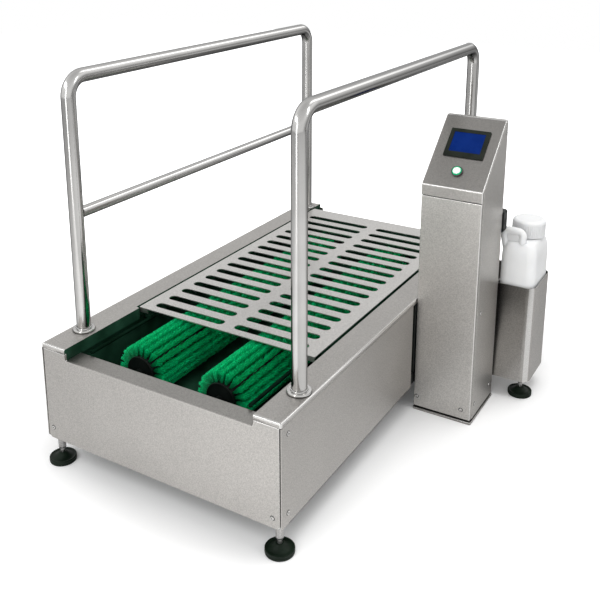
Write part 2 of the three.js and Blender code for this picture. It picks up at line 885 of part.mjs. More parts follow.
function handrail(x, frontAt, rearAt, height) {
  const foot = ledgeTop + seatGap;
  return bentTube(
    [
      [x, frontAt, foot],
      [x, frontAt, height],
      [x, rearAt, height],
      [x, rearAt, foot],
    ],
    railBendRadius,
    railRadius,
  );
}

function midRail() {
  const [start, end] = [leftRailFrontAt, leftRailRearAt];
  const bar = barAlong("y", leftRailX, midRailHeight, midRailRadius, start, end, railSteps);
  const reach = railRadius + seatGap;
  const low = midRailHeight - midRailRadius - overrun;
  const high = midRailHeight + midRailRadius + overrun;
  const frontPost = barAlong("z", leftRailX, leftRailFrontAt, reach, low, high);
  const rearPost = barAlong("z", leftRailX, leftRailRearAt, reach, low, high);
  return bar.subtract(frontPost).subtract(rearPost);
}

function rosette(x, y) {
  const inner = railRadius + seatGap;
  const foot = ledgeTop + seatGap;
  return turned([
    [inner, foot],
    [rosetteRadius, foot],
    [rosetteRadius, foot + rosetteRim],
    [(rosetteRadius + inner) / 2, foot + rosetteHeight - rosetteRim / 2],
    [inner, foot + rosetteHeight],
  ], x, y, 0);
}

// The closed body of the column, standing on a plinth a little inside its walls.
function columnBody() {
  const outline = roundedOutline(
    columnLeft,
    columnRight,
    columnFrontAt + coverDepth + seamGap,
    columnRearAt,
    evenRadii(columnEdgeRadius),
  );
  const walls = prism("z", outline, columnFoot, headSeamAt);
  const plinth = block(
    columnLeft + columnPlinthInset,
    columnRight - columnPlinthInset,
    columnFrontAt + coverDepth + columnPlinthInset,
    columnRearAt - columnPlinthInset,
    basePlateThickness + seatGap,
    columnFoot + columnPlinthInset,
  );
  const coverSeat = block(
    columnLeft + columnPlinthInset,
    columnRight - columnPlinthInset,
    columnFrontAt + coverDepth + seatGap,
    columnFrontAt + coverDepth + columnPlinthInset,
    columnFoot + columnPlinthInset,
    headSeamAt - columnPlinthInset,
  );
  return join([walls, plinth, coverSeat]);
}

function columnCover() {
  const outline = roundedOutline(
    columnLeft + coverReveal,
    columnRight - coverReveal,
    columnFrontAt,
    columnFrontAt + coverDepth,
    [coverEdgeRadius, coverEdgeRadius, 0, 0],
  );
  return prism("z", outline, columnFoot + seamGap, headSeamAt - seamGap);
}

function columnBasePlate() {
  const outline = roundedOutline(
    columnLeft,
    columnRight + basePlateEdge,
    columnFrontAt - basePlateEdge,
    columnRearAt + basePlateEdge,
    evenRadii(columnEdgeRadius),
  );
  return prism("z", outline, 0, basePlateThickness);
}

function columnLink() {
  return block(bodyWidth - linkDepth, columnLeft - seatGap, linkFrontAt, linkRearAt, linkFoot, panelTop);
}

function headOutline() {
  return polygon([
    [columnFrontAt, headFoot],
    [columnRearAt, headFoot],
    [columnRearAt, headTopHeight],
    [slopeTopAt, headTopHeight],
    [columnFrontAt, slopeFoot],
  ]);
}

// Moves a solid from the slope's own frame, across, up the slope and outwards, to its place.
function onSlope(solid) {
  const placing = new THREE.Matrix4().makeRotationX(slopeAngle);
  placing.setPosition(columnLeft, columnFrontAt, slopeFoot);
  return solid.transform(placing.elements);
}

function columnHead() {
  const shell = prism("x", headOutline(), columnLeft, columnRight, headEdgeRadius);
  const seat = block(
    columnLeft + columnPlinthInset,
    columnRight - columnPlinthInset,
    columnFrontAt + coverDepth + columnPlinthInset,
    columnRearAt - columnPlinthInset,
    headSeamAt + seatGap,
    headFoot + columnPlinthInset,
  );
  const hood = shell.add(seat);
  const bore = barAlong("z", buttonAcross, buttonRise, buttonBoreRadius, -buttonBoreDepth, overrun);
  return hood.subtract(onSlope(bore));
}

function screenBezel() {
  const right = screenBezelStart + screenBezelWidth;
  const top = screenBezelRise + screenBezelLength;
  const corners = evenRadii(screenBezelRadius);
  const outline = roundedOutline(screenBezelStart, right, screenBezelRise, top, corners);
  const frame = prism("z", outline, seatGap, seatGap + screenBezelThickness, screenBezelEdge);
  const window = block(
    screenBezelStart + screenMarginSide,
    right - screenMarginSide,
    screenBezelRise + screenMarginLower,
    top - screenMarginUpper,
    0,
    screenBezelThickness + overrun,
  );
  return onSlope(frame.subtract(window));
}

function screenGlass() {
  const side = screenMarginSide + seatGap;
  return onSlope(
    block(
      screenBezelStart + side,
      screenBezelStart + screenBezelWidth - side,
      screenBezelRise + screenMarginLower + seatGap,
      screenBezelRise + screenBezelLength - screenMarginUpper - seatGap,
      seatGap,
      seatGap + screenBezelThickness - screenRecess,
    ),
  );
}

// A ring standing on the slope round the button.
function slopeRing(outer, inner, low, high) {
  const ring = barAlong("z", buttonAcross, buttonRise, outer, low, high);
  return ring.subtract(barAlong("z", buttonAcross, buttonRise, inner, low - overrun, high + overrun));
}

function buttonBezel() {
  const inner = buttonRingRadius + buttonClearance;
  return onSlope(slopeRing(buttonBezelRadius, inner, seatGap, seatGap + buttonBezelHeight));
}

function buttonRing() {
  return onSlope(slopeRing(buttonRingRadius, buttonCapRadius + buttonClearance, -buttonDepth, buttonStand));
}

function buttonCap() {
  return onSlope(barAlong("z", buttonAcross, buttonRise, buttonCapRadius, -buttonDepth, buttonStand));
}

function isolatorBase() {
  const right = columnRight - isolatorInset;
  const front = columnRearAt + seatGap;
  const outline = roundedOutline(
    right - isolatorWidth,
    right,
    isolatorFoot,
    isolatorFoot + isolatorHeight,
    evenRadii(isolatorCornerRadius),
  );
  return prism("y", outline, front, front + isolatorDepth, isolatorEdgeRadius);
}

function isolatorKnob() {
  const start = columnRearAt + isolatorDepth + 2 * seatGap;
  const disc = barAlong("y", isolatorX, isolatorZ, knobRadius, start, start + knobDiscHeight);
  const half = knobGripWidth / 2;
  const grip = roundedOutline(
    isolatorX - half,
    isolatorX + half,
    isolatorZ - knobRadius,
    isolatorZ + knobRadius,
    evenRadii(half * knobGripShare),
  );
  return disc.add(prism("y", grip, start, start + knobHeight, knobGripEdge));
}

// An open pocket of folded sheet with one divider and a boss for its foot.
function canisterHolder() {
  const round = holderCornerRadius;
  const innerRound = holderCornerRadius - holderSheet;
  const small = holderInnerCornerRadius;
  const outside = prism(
    "z",
    roundedOutline(holderLeft, holderRightAt, holderFrontAt, holderRearAt, [small, round, round, small]),
    holderFoot,
    holderTop,
  );
  const floor = holderFoot + holderSheet;
  const front = holderFrontAt + holderSheet;
  const rear = holderRearAt - holderSheet;
  const emptyPocket = prism(
    "z",
    roundedOutline(holderLeft + holderSheet, holderDividerAt, front, rear, evenRadii(small - holderSheet)),
    floor,
    holderTop + overrun,
  );
  const pocketOutline = roundedOutline(
    holderDividerAt + holderSheet,
    holderRightAt - holderSheet,
    front,
    rear,
    [0, innerRound, innerRound, 0],
  );
  const pocket = prism("z", pocketOutline, floor, holderTop + overrun);
  const bossFoot = holderFoot - holderBossHeight;
  const boss = barAlong("z", holderFootX, holderFootY, holderBossRadius, bossFoot, floor - holderSheet / 2);
  const stemBore = stemRadius + seatGap;
  const bore = barAlong("z", holderFootX, holderFootY, stemBore, bossFoot - overrun, holderFoot);
  return outside.subtract(emptyPocket).subtract(pocket).add(boss).subtract(bore);
}

function canister() {
  const corners = evenRadii(canisterCornerRadius);
  const bodyOutline = roundedOutline(canisterLeft, canisterRight, canisterFrontAt, canisterRearAt, corners);
  const body = prism("z", bodyOutline, canisterFoot, canisterTop, canisterEdgeRadius);
  const neckTop = canisterTop + neckHeight;
  const neck = barAlong("z", capX, capY, neckRadius, canisterTop - overrun, neckTop);
  const handleFront = canisterFrontAt + canisterHandleInset;
  const handleTop = canisterTop + canisterHandleHeight;
  const handleOutline = roundedOutline(
    handleFront,
    handleFront + canisterHandleLength,
    canisterTop - overrun,
    handleTop,
    [0, 0, canisterHandleEdge, canisterHandleEdge],
  );
  const handleMiddle = canisterLeft + canisterEdgeRadius + canisterHandleDepth / 2;
  const handle = prism(
    "x",
    handleOutline,
    handleMiddle - canisterHandleDepth / 2,
    handleMiddle + canisterHandleDepth / 2,
    canisterHandleEdge / 2,
  );
  const grip = block(
    handleMiddle - canisterHandleDepth,
    handleMiddle + canisterHandleDepth,
    handleFront + canisterHandleEdge,
    handleFront + canisterHandleLength - canisterHandleEdge,
    handleTop - canisterHandleEdge - canisterGripHeight,
    handleTop - canisterHandleEdge,
  );
  const mouth = barAlong("z", capX, capY, neckRadius - neckWall, neckTop - neckDepth, handleTop);
  return body.add(handle.subtract(grip)).add(neck).subtract(mouth);
}

// A ribbed screw cap, hollow where it sits over the neck.
function canisterCap() {
  const foot = canisterTop + capFootGap;
  const top = foot + capHeight;
  const cap = turned([
    [0, foot],
    [capRadius, foot],
    [capRadius, top - capEdgeRadius],
    [capRadius - capEdgeRadius / 2, top - capEdgeRadius / 4],
    [capRadius - capEdgeRadius, top],
    [capRadius - 2 * capEdgeRadius, top],
    [capRadius - 2 * capEdgeRadius - capCrown, top - capCrown / 2],
    [0, top - capCrown / 2],
  ], capX, capY, 0, capRibs);
  const hollowTop = canisterTop + neckHeight + seatGap;
  const hollow = barAlong("z", capX, capY, neckRadius + seatGap, foot - overrun, hollowTop);
  return cap.subtract(hollow);
}

function footPad(x, y) {
  const socket = barAlong("z", x, y, stemRadius + seatGap, padHeight - stemSeat, padHeight + overrun);
  const pad = turned([
    [0, 0],
    [padRadius, 0],
    [padRadius, padRim],
    [padRadius * padShoulderShares[0], padHeight * padShoulderShares[1]],
    [padNeckRadius, padHeight],
    [0, padHeight],
  ], x, y, 0);
  return pad.subtract(socket);
}

function footStem(x, y, top) {
  return barAlong("z", x, y, stemRadius, padHeight - stemSeat + seatGap, top, railSteps);
}

const steel = { color: 0xb9b6b1, metalness: 0.85, roughness: 0.42 };
const brightSteel = { color: 0xd6d6d4, metalness: 1, roughness: 0.16 };
const darkSteel = { color: 0x55585a, metalness: 0.7, roughness: 0.5 };
const blackPlastic = { color: 0x17191a, metalness: 0, roughness: 0.55 };
const blackRubber = { color: 0x121413, metalness: 0, roughness: 0.85 };
const greenBristle = { color: 0x00924a, metalness: 0, roughness: 0.8 };
const whitePlastic = { color: 0xe9eaea, metalness: 0, roughness: 0.5 };
const tubSteel = { color: 0x3a4a42, metalness: 0.6, roughness: 0.5 };
const screenBlue = { color: 0x14204a, metalness: 0, roughness: 0.15 };
const litGreen = { color: 0x1fbf6b, metalness: 0, roughness: 0.3, emissive: 0x0b7a3a };
const greyMetal = { color: 0x8f9395, metalness: 0.6, roughness: 0.4 };

const part = new THREE.Group();
part.name = "boot_washer";

// Moves every piece so that the object's origin is at the middle of its footprint.
const leftmost = footInsetX - padRadius;
const frontmost = footInsetY - padRadius;
const rightmost = Math.max(holderRightAt, holderFootX + padRadius);
const originX = (leftmost + rightmost) / 2;
const originY = (frontmost + bodyLength - frontmost) / 2;

function addPart(name, solid, look) {
  const mesh = solid.getMesh();
  const geometry = new THREE.BufferGeometry();
  geometry.setAttribute("position", new THREE.BufferAttribute(mesh.vertProperties, 3));
  geometry.setIndex(new THREE.BufferAttribute(mesh.triVerts, 1));
  geometry.translate(-originX, -originY, 0);
  geometry.computeVertexNormals();
  const piece = new THREE.Mesh(geometry, new THREE.MeshStandardMaterial(look));
  piece.name = name;
  part.add(piece);
}

addPart("base_frame", baseFrame(), darkSteel);
addPart("front_panel", endPanel(), steel);
addPart("rear_panel", toRear(endPanel()), steel);
addPart("left_side_panel", sidePanel(0, bodyLength), steel);
addPart("right_front_panel", toRight(sidePanel(0, rightPanelEnd)), steel);
addPart("right_rear_panel", toRight(sidePanel(rightRearPanelStart, bodyLength)), steel);
addPart("left_ledge", ledge(leftLedgeWidth, leftLedgeWidening), steel);
addPart("right_ledge", toRight(ledge(rightLedgeWidth, 0)), steel);
addPart("front_threshold", threshold(), steel);
addPart("rear_threshold", toRear(threshold()), steel);
addPart("tub", tub(), tubSteel);
addPart("grate", grate(), steel);
addPart("left_brush_core", brushCore(leftBrushX), blackPlastic);
addPart("right_brush_core", brushCore(rightBrushX), blackPlastic);
addPart("left_brush_tufts", brushTufts(leftBrushX), greenBristle);
addPart("right_brush_tufts", brushTufts(rightBrushX), greenBristle);
addPart("left_front_bearing", bearing(leftBrushX, tubInnerEnd + seatGap), greyMetal);
addPart("right_front_bearing", bearing(rightBrushX, tubInnerEnd + seatGap), greyMetal);
addPart("left_rear_bearing", bearing(leftBrushX, rearBearingAt), greyMetal);
addPart("right_rear_bearing", bearing(rightBrushX, rearBearingAt), greyMetal);
addPart("left_brush_pulley", pulley(leftBrushX, brushHeight, pulleyRadius, brushShaftRadius), greyMetal);
addPart("right_brush_pulley", pulley(rightBrushX, brushHeight, pulleyRadius, brushShaftRadius), greyMetal);
addPart("motor_pulley", motorPulley(), greyMetal);
addPart("drive_belt", driveBelt(), blackRubber);
addPart("gear_motor", gearMotor(), darkSteel);
addPart("left_spray_pipe", sprayPipe(leftLedgeWidth + sprayPipeInset), steel);
addPart("right_spray_pipe", sprayPipe(rightLedgeInner - sprayPipeInset), steel);
addPart("drain_plug", drainPlug(), steel);
const leftRail = handrail(leftRailX, leftRailFrontAt, leftRailRearAt, leftRailHeight);
const rightRail = handrail(rightRailX, rightRailFrontAt, rightRailRearAt, rightRailHeight);
addPart("left_handrail", leftRail, brightSteel);
addPart("left_mid_rail", midRail(), brightSteel);
addPart("right_handrail", rightRail, brightSteel);
addPart("left_front_rosette", rosette(leftRailX, leftRailFrontAt), brightSteel);
addPart("left_rear_rosette", rosette(leftRailX, leftRailRearAt), brightSteel);
addPart("right_front_rosette", rosette(rightRailX, rightRailFrontAt), brightSteel);
addPart("right_rear_rosette", rosette(rightRailX, rightRailRearAt), brightSteel);
addPart("column_base_plate", columnBasePlate(), steel);
addPart("column_body", columnBody(), steel);
addPart("column_cover", columnCover(), steel);
addPart("column_head", columnHead(), steel);
addPart("column_link", columnLink(), blackPlastic);
addPart("screen_bezel", screenBezel(), blackPlastic);
addPart("screen", screenGlass(), screenBlue);
addPart("button_bezel", buttonBezel(), brightSteel);
addPart("button_ring", buttonRing(), litGreen);
addPart("button_cap", buttonCap(), whitePlastic);
addPart("isolator_base", isolatorBase(), blackPlastic);
addPart("isolator_knob", isolatorKnob(), blackPlastic);
addPart("canister_holder", canisterHolder(), steel);
addPart("canister", canister(), whitePlastic);
addPart("canister_cap", canisterCap(), whitePlastic);
for (const [sideIndex, side] of ["left", "right"].entries()) {
  for (const [endIndex, end] of ["front", "rear"].entries()) {
    const x = footXs[sideIndex];
    const y = footYs[endIndex];
    addPart(`${side}_${end}_foot_pad`, footPad(x, y), blackRubber);
    addPart(`${side}_${end}_foot_stem`, footStem(x, y, stemTop), brightSteel);
  }
}
addPart("holder_foot_pad", footPad(holderFootX, holderFootY), blackRubber);
addPart("holder_foot_stem", footStem(holderFootX, holderFootY, holderFoot - seatGap), brightSteel);

export default part;
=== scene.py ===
"""Boot washer: finished sheet metal, rails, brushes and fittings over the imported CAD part."""
import math

import bmesh
import bpy
from mathutils import Matrix, Vector


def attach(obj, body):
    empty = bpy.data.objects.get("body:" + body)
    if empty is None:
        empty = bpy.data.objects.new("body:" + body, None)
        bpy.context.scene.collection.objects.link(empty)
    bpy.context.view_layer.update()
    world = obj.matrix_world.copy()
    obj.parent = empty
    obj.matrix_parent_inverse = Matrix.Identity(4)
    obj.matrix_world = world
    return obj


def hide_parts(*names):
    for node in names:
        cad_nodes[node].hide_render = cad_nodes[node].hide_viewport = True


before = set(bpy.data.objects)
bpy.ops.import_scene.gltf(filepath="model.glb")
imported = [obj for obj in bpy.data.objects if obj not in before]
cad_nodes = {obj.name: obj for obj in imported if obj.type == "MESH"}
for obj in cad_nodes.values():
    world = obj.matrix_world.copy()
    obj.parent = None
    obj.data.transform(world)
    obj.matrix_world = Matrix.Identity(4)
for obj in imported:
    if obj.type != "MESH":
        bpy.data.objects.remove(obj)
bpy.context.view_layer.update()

# Sizes are in millimetres. X 0 is the body's left side, Y 0 its front face and Z 0 the floor.
MIDDLE_X = 580.75
MIDDLE_Y = 787.5
MILLIMETRE = 0.001

# Body
BODY_WIDTH = 848
BODY_LENGTH = 1575
BODY_FOOT = 92
LEDGE_TOP = 408
SHEET = 3
SEAM = 1.2
GAP = 0.4
LEFT_LEDGE_WIDTH = 79.5
LEFT_LEDGE_WIDENING = 14.5
LEFT_LEDGE_STEP = 338
RIGHT_LEDGE_WIDTH = 86
LEDGE_WALL = 2.5
LEDGE_SKIRT = 14
LEDGE_LIP = 38.5
WIDE_FOLD = 5.5
TIGHT_FOLD = 4.5
THRESHOLD_TOP = 371
THRESHOLD_DEPTH = 69
THRESHOLD_LIP = 20
THRESHOLD_BEND = 5
END_PANEL_DEPTH = 8
END_PANEL_REVEAL = 3
END_PANEL_EDGE = 2.4
PANEL_CORNER = 9
PANEL_FLANGE = 16
PANEL_FLANGE_INSET = 26
PANEL_TOP = LEDGE_TOP - LEDGE_SKIRT - SEAM
RIGHT_PANELS_BREAK = (836, 1076)
RIGHT_LEDGE_INNER = BODY_WIDTH - RIGHT_LEDGE_WIDTH
LEFT_NOTCH = LEFT_LEDGE_WIDTH + LEFT_LEDGE_WIDENING

# Grate
GRATE_LEFT = 88
GRATE_RIGHT = 750
GRATE_FRONT = 343
GRATE_REAR = 1502
GRATE_SHEET = 4
GRATE_CORNER = 3
GRATE_EDGE = 1.9
GRATE_TAB = 35
GRATE_TAB_DROP = 18
GRATE_RIB_HALF = 13
GRATE_RIB_REAR = 1429
GRATE_RIB_FOOT = 400
SLOT_WIDTH = 32
SLOT_PITCH = 67.6
FIRST_SLOT = 388
SLOT_ROWS = 16
LEFT_SLOTS = (126, 396)
RIGHT_SLOTS = (438, 703)

# Brushes
BRUSH_X = {"left": 256, "right": 553}
BRUSH_Z = 312
BRUSH_START = 145
BRUSH_END = 1295
BRUSH_DISC = 7
DISC_RADIUS = 50
SHAFT_RADIUS = 12.5
SHAFT_START = 68.6
SHAFT_END = 1474
BRISTLE_TIP = 86
BRISTLE_ROOT = 49
TUFT_ROWS = 20
FINE_BRISTLES_END = 402
BED_START = 420
BED_FOOT = 48.7
BED_CROWN = 70
SPRAY_Z = 380
SPRAY_RADIUS = 5.5
SPRAY_FROM_LEDGE = 56
SPRAY_END = 1424

# Rails, each by its X, front post, rear post and height
RAIL_RADIUS = 22
RAIL_BEND = 60
LEFT_RAIL = (47, 132, 1508, 1197)
RIGHT_RAIL = (806.5, 158.5, 1421, 1184)
MID_RAIL_RADIUS = 17.5
MID_RAIL_Z = 784.5
MID_RAIL_SUNK = 3

# Column
COLUMN_LEFT = 848.4
COLUMN_RIGHT = 1053.4
COLUMN_FRONT = 862
COLUMN_REAR = 1083
COLUMN_FOOT = 12
COLUMN_PLATE = 8
COVER_DEPTH = 14
HEAD_SEAM = 776
SLOPE_FOOT = 814
HEAD_TOP = 1005.6
HEAD_TOP_DEPTH = 18
HOOD_FLANGE = 9
SLOPE_RUN = COLUMN_REAR - HEAD_TOP_DEPTH - COLUMN_FRONT
SLOPE_RISE = HEAD_TOP - SLOPE_FOOT

# Fittings on the head's slope, measured across it, up it and out of it
BEZEL = (36, 170, 115.5, 224.5)
WINDOW = (50, 156, 134.5, 211)
BEZEL_TOP = 5.4
START_BUTTON = (101.5, 62, 0)
BUTTON_ROOT = -4.5

# Isolator. Its case reaches further right than its knob needs, so that it shows beside the column.
ISOLATOR_WIDTH = 58
ISOLATOR_LOW = 611
ISOLATOR_HIGH = 687
ISOLATOR_DEPTH = 42
ISOLATOR_FROM_EDGE = 9
ISOLATOR_REACH = 14

# Holder and canister, each by its ends in X, Y and Z
HOLDER = (848.4, 1176, 1093, 1295, 74, 427)
HOLDER_WALL = 2.6
DIVIDER_X = 1043
CANISTER = (1047, 1169, 1100, 1288, 77.4, 576)
CAP_PLACE = (1109.5, 1216)
CAP_RADIUS = 55.4
CAP_BORE = 46.4

# Feet, by the X and Y of their stems
FEET = {
    "left_front": (24.5, 29),
    "left_rear": (24.5, 1546),
    "right_front": (823.5, 29),
    "right_rear": (823.5, 1546),
    "holder": (1137, 1148),
}
STEM_TOP = 105
HOLDER_STEM_TOP = 55.6


def placed(x, y, z):
    """A point of the washer in metres, in the frame of the CAD part."""
    return Vector(((x - MIDDLE_X) * MILLIMETRE, (y - MIDDLE_Y) * MILLIMETRE, z * MILLIMETRE))


# Materials


def toned(colour, factor, lift=0.0):
    """A colour made darker or lighter, and never brighter than white."""
    return tuple(min(1.0, part * factor + lift) for part in colour)


def grey_steps(*levels):
    """Greys as the stops of a ramp, from pairs of position and level."""
    return tuple((position, (level, level, level)) for position, level in levels)


def opaque(colour):
    """A colour as a socket takes it, or a linked output as it is."""
    return colour if isinstance(colour, bpy.types.NodeSocket) else (*colour, 1.0)


class Nodes:
    """Short calls that add nodes to a tree, with their inputs linked or set."""

    def node(self, kind, inputs=None, **settings):
        node = self.tree.nodes.new(kind)
        for key, value in settings.items():
            setattr(node, key, value)
        for key, value in (inputs or {}).items():
            if isinstance(value, bpy.types.NodeSocket):
                self.tree.links.new(value, node.inputs[key])
            else:
                node.inputs[key].default_value = value
        return node

    def made(self, kind, output, inputs=None, **settings):
        """One output of a new node."""
        return self.node(kind, inputs, **settings).outputs[output]

    def math(self, operation, first, second=0.0):
        return self.made("ShaderNodeMath", 0, {0: first, 1: second}, operation=operation)

    def vector_math(self, operation, output, *values):
        return self.made("ShaderNodeVectorMath", output, dict(enumerate(values)), operation=operation)


class Finish(Nodes):
    """A material whose patterns follow the piece's own coordinates."""

    def __init__(self, name):
        self.material = bpy.data.materials.new(name)
        self.material.use_nodes = True
        self.tree = self.material.node_tree
        self.surface = self.tree.nodes["Principled BSDF"]
        self.place = self.made("ShaderNodeTexCoord", "Object")

    def set(self, **values):
        for key, value in values.items():
            self.surface.inputs[key.replace("_", " ")].default_value = value

    def link(self, output, key):
        self.tree.links.new(output, self.surface.inputs[key])

    def stretched(self, scale):
        """Object coordinates multiplied along each axis, for a grain that runs one way."""
        return self.made("ShaderNodeMapping", "Vector", {"Vector": self.place, "Scale": scale})

    def noise(self, scale, detail=3.0, where=None, roughness=0.5):
        inputs = {"Vector": where or self.place, "Scale": scale, "Detail": detail, "Roughness": roughness}
        return self.made("ShaderNodeTexNoise", "Fac", inputs)

    def ranged(self, value, low, high, new_low, new_high):
        inputs = {"Value": value, "From Min": low, "From Max": high, "To Min": new_low, "To Max": new_high}
        return self.made("ShaderNodeMapRange", "Result", inputs)

    def ramp(self, value, stops):
        node = self.node("ShaderNodeValToRGB", {"Fac": value})
        elements = node.color_ramp.elements
        while len(elements) < len(stops):
            elements.new(0.5)
        for element, (position, colour) in zip(elements, stops):
            element.position = position
            element.color = (*colour, 1.0)
        return node.outputs["Color"]

    def mixed(self, share, first, second, blend="MIX"):
        inputs = {0: share, 6: opaque(first), 7: opaque(second)}
        return self.made("ShaderNodeMix", 2, inputs, data_type="RGBA", blend_type=blend)

    def multiplied(self, first, second):
        return self.mixed(1.0, first, second, blend="MULTIPLY")

    def rough(self, pattern, smoothest, roughest, low=0.3, high=0.7):
        """Lets the roughness follow a pattern between two levels."""
        self.link(self.ranged(pattern, low, high, smoothest, roughest), "Roughness")

    def edge_bend(self, radius):
        """How strongly the surface bends, from 0 on a flat face to 1 on a sharp edge."""
        rounded = self.made("ShaderNodeBevel", "Normal", {"Radius": radius}, samples=4)
        flat = self.made("ShaderNodeNewGeometry", "Normal")
        same = self.vector_math("DOT_PRODUCT", "Value", rounded, flat)
        return self.ranged(same, 1.0, 0.8, 0.0, 1.0)

    def bumped(self, height, strength, distance):
        inputs = {"Height": height, "Strength": strength, "Distance": distance}
        self.link(self.made("ShaderNodeBump", "Normal", inputs), "Normal")


def ground_sheet(name, tone, grain_axis, roughness=0.42, speckle=0.7):
    """Satin stainless sheet with a fine ground grain along one axis, a faint cloudiness, painted shade in its
    crevices and a painted highlight on its sharp edges.
    """
    finish = Finish(name)
    across, along = 900, 6
    scale = [along if axis == grain_axis else across for axis in "xyz"]
    grain = finish.noise(1.0, 2.0, finish.stretched(scale))
    sand = finish.noise(300.0, 3.0, roughness=0.7)
    cloud = finish.noise(3.2, 4.0)
    colour = finish.ramp(cloud, ((0.3, toned(tone, 0.93)), (0.7, toned(tone, 1.05))))
    colour = finish.multiplied(colour, finish.ramp(sand, grey_steps((0.35, speckle), (0.65, 1.0))))
    # Painted shade: darker where the surface is hemmed in, in crevices, seams and under rims.
    openness = finish.made("ShaderNodeAmbientOcclusion", "AO", {"Distance": 0.035}, samples=8)
    crevice_shade = finish.ramp(openness, ((0.2, (0.3, 0.3, 0.29)), (0.75, (1.0, 1.0, 1.0))))
    colour = finish.multiplied(colour, crevice_shade)
    # Painted highlight: lighter towards sharp edges.
    lighter_edges = finish.math("MULTIPLY", finish.edge_bend(0.0012), 0.35)
    finish.link(finish.mixed(lighter_edges, colour, (0.93, 0.92, 0.9)), "Base Color")
    finish.rough(finish.math("ADD", grain, cloud), roughness - 0.05, roughness + 0.07, 0.6, 1.4)
    finish.set(Metallic=1.0)
    finish.bumped(finish.math("ADD", grain, sand), 0.12, 0.0004)
    return finish.material


def polished_tube():
    """Polished stainless tube with a painted highlight above, painted shade below and a painted dark rim
    towards its outline, with faint rings from polishing and smears.
    """
    finish = Finish("polished_tube")
    rings = finish.noise(1.0, 2.0, finish.stretched((40, 40, 900)))
    smear = finish.noise(9.0, 5.0)
    colour = finish.ramp(smear, ((0.35, (0.58, 0.573, 0.56)), (0.7, (0.65, 0.643, 0.63))))
    # Painted shade: darker towards the tube's outline as its surface turns from view.
    facing = finish.made("ShaderNodeLayerWeight", "Facing", {"Blend": 0.5})
    rim = finish.ramp(facing, grey_steps((0.42, 1.0), (0.74, 0.2)))
    # Painted light: lighter on the upper side and darker on the underside.
    normal = finish.made("ShaderNodeNewGeometry", "Normal")
    upward = finish.made("ShaderNodeSeparateXYZ", "Z", {"Vector": normal})
    level = finish.ranged(upward, -1.0, 1.0, 0.0, 1.0)
    lit = finish.ramp(level, grey_steps((0.2, 0.3), (0.46, 1.0), (0.62, 1.0), (0.8, 1.3)))
    finish.link(finish.multiplied(finish.multiplied(colour, lit), rim), "Base Color")
    finish.rough(smear, 0.13, 0.2, 0.3, 0.75)
    finish.set(Metallic=1.0)
    finish.bumped(rings, 0.02, 0.0002)
    return finish.material


def painted_shade_steel(name, level, shine):
    """Sheet of the tub, dark as painted shade of its inside, with blotches like dried rims of water and a
    green that is painted light thrown from the brushes.
    """
    finish = Finish(name)
    stain = finish.noise(14.0, 6.0)
    fine = finish.noise(260.0, 3.0)
    tones = ((0.3, (0.005, 0.020, 0.011)), (0.55, (0.010, 0.038, 0.022)), (0.8, (0.016, 0.056, 0.034)))
    stops = tuple((position, toned(tone, level)) for position, tone in tones)
    finish.link(finish.ramp(stain, stops), "Base Color")
    finish.rough(stain, 0.4, 0.65)
    finish.set(Specular_IOR_Level=shine)
    finish.bumped(fine, 0.1, 0.0005)
    return finish.material


def bristle_nylon(name, axis_x):
    """Green nylon strands with painted shade: dark at the root, where the strands shade each other, and
    lighter towards the cut tips.
    """
    finish = Finish(name)
    centre = placed(axis_x, 0, BRUSH_Z)
    offset = finish.vector_math("SUBTRACT", "Vector", finish.place, (centre.x, 0.0, centre.z))
    flat = finish.vector_math("MULTIPLY", "Vector", offset, (1.0, 0.0, 1.0))
    reach = finish.vector_math("LENGTH", "Value", flat)
    along = finish.ranged(reach, BRISTLE_ROOT * MILLIMETRE, BRISTLE_TIP * MILLIMETRE, 0.0, 1.0)
    greens_shaded_to_root = (
        (0.0, (0.0, 0.07, 0.023)),
        (0.4, (0.0, 0.26, 0.085)),
        (0.82, (0.0, 0.5, 0.165)),
        (1.0, (0.006, 0.68, 0.25)),
    )
    strand = finish.noise(420.0, 2.0)
    variety = finish.ramp(strand, ((0.38, (0.22, 0.32, 0.32)), (0.62, (1.6, 1.5, 1.5))))
    finish.link(finish.multiplied(finish.ramp(along, greens_shaded_to_root), variety), "Base Color")
    finish.rough(strand, 0.4, 0.62)
    finish.set(Specular_IOR_Level=0.14)
    return finish.material


def moulded_plastic(name, colour, roughness, grain=900.0, spread=0.25):
    """Moulded plastic or rubber with a fine matt grain and slight unevenness of tone."""
    finish = Finish(name)
    cloud = finish.noise(24.0, 4.0)
    fine = finish.noise(grain, 2.0)
    tone = finish.ramp(cloud, ((0.3, toned(colour, 1.0 - spread)), (0.7, toned(colour, 1.0 + spread, 0.002))))
    # Lighter towards sharp edges.
    lighter_edges = finish.math("MULTIPLY", finish.edge_bend(0.0009), 0.25)
    finish.link(finish.mixed(lighter_edges, tone, toned(colour, 2, 0.03)), "Base Color")
    finish.rough(cloud, roughness - 0.06, roughness + 0.06)
    finish.set(Specular_IOR_Level=0.15)
    finish.bumped(fine, 0.18, 0.0004)
    return finish.material


def milky_plastic():
    """Natural polyethylene of the canister, into which light sinks a little."""
    finish = Finish("milky_polyethylene")
    cloud = finish.noise(11.0, 4.0)
    fine = finish.noise(500.0, 2.0)
    finish.link(finish.ramp(cloud, ((0.3, (0.77, 0.775, 0.775)), (0.7, (0.82, 0.825, 0.825)))), "Base Color")
    finish.rough(cloud, 0.34, 0.46)
    finish.set(Subsurface_Weight=0.25, Subsurface_Scale=0.02, Subsurface_Radius=(1.0, 0.95, 0.85))
    finish.bumped(fine, 0.08, 0.0004)
    return finish.material


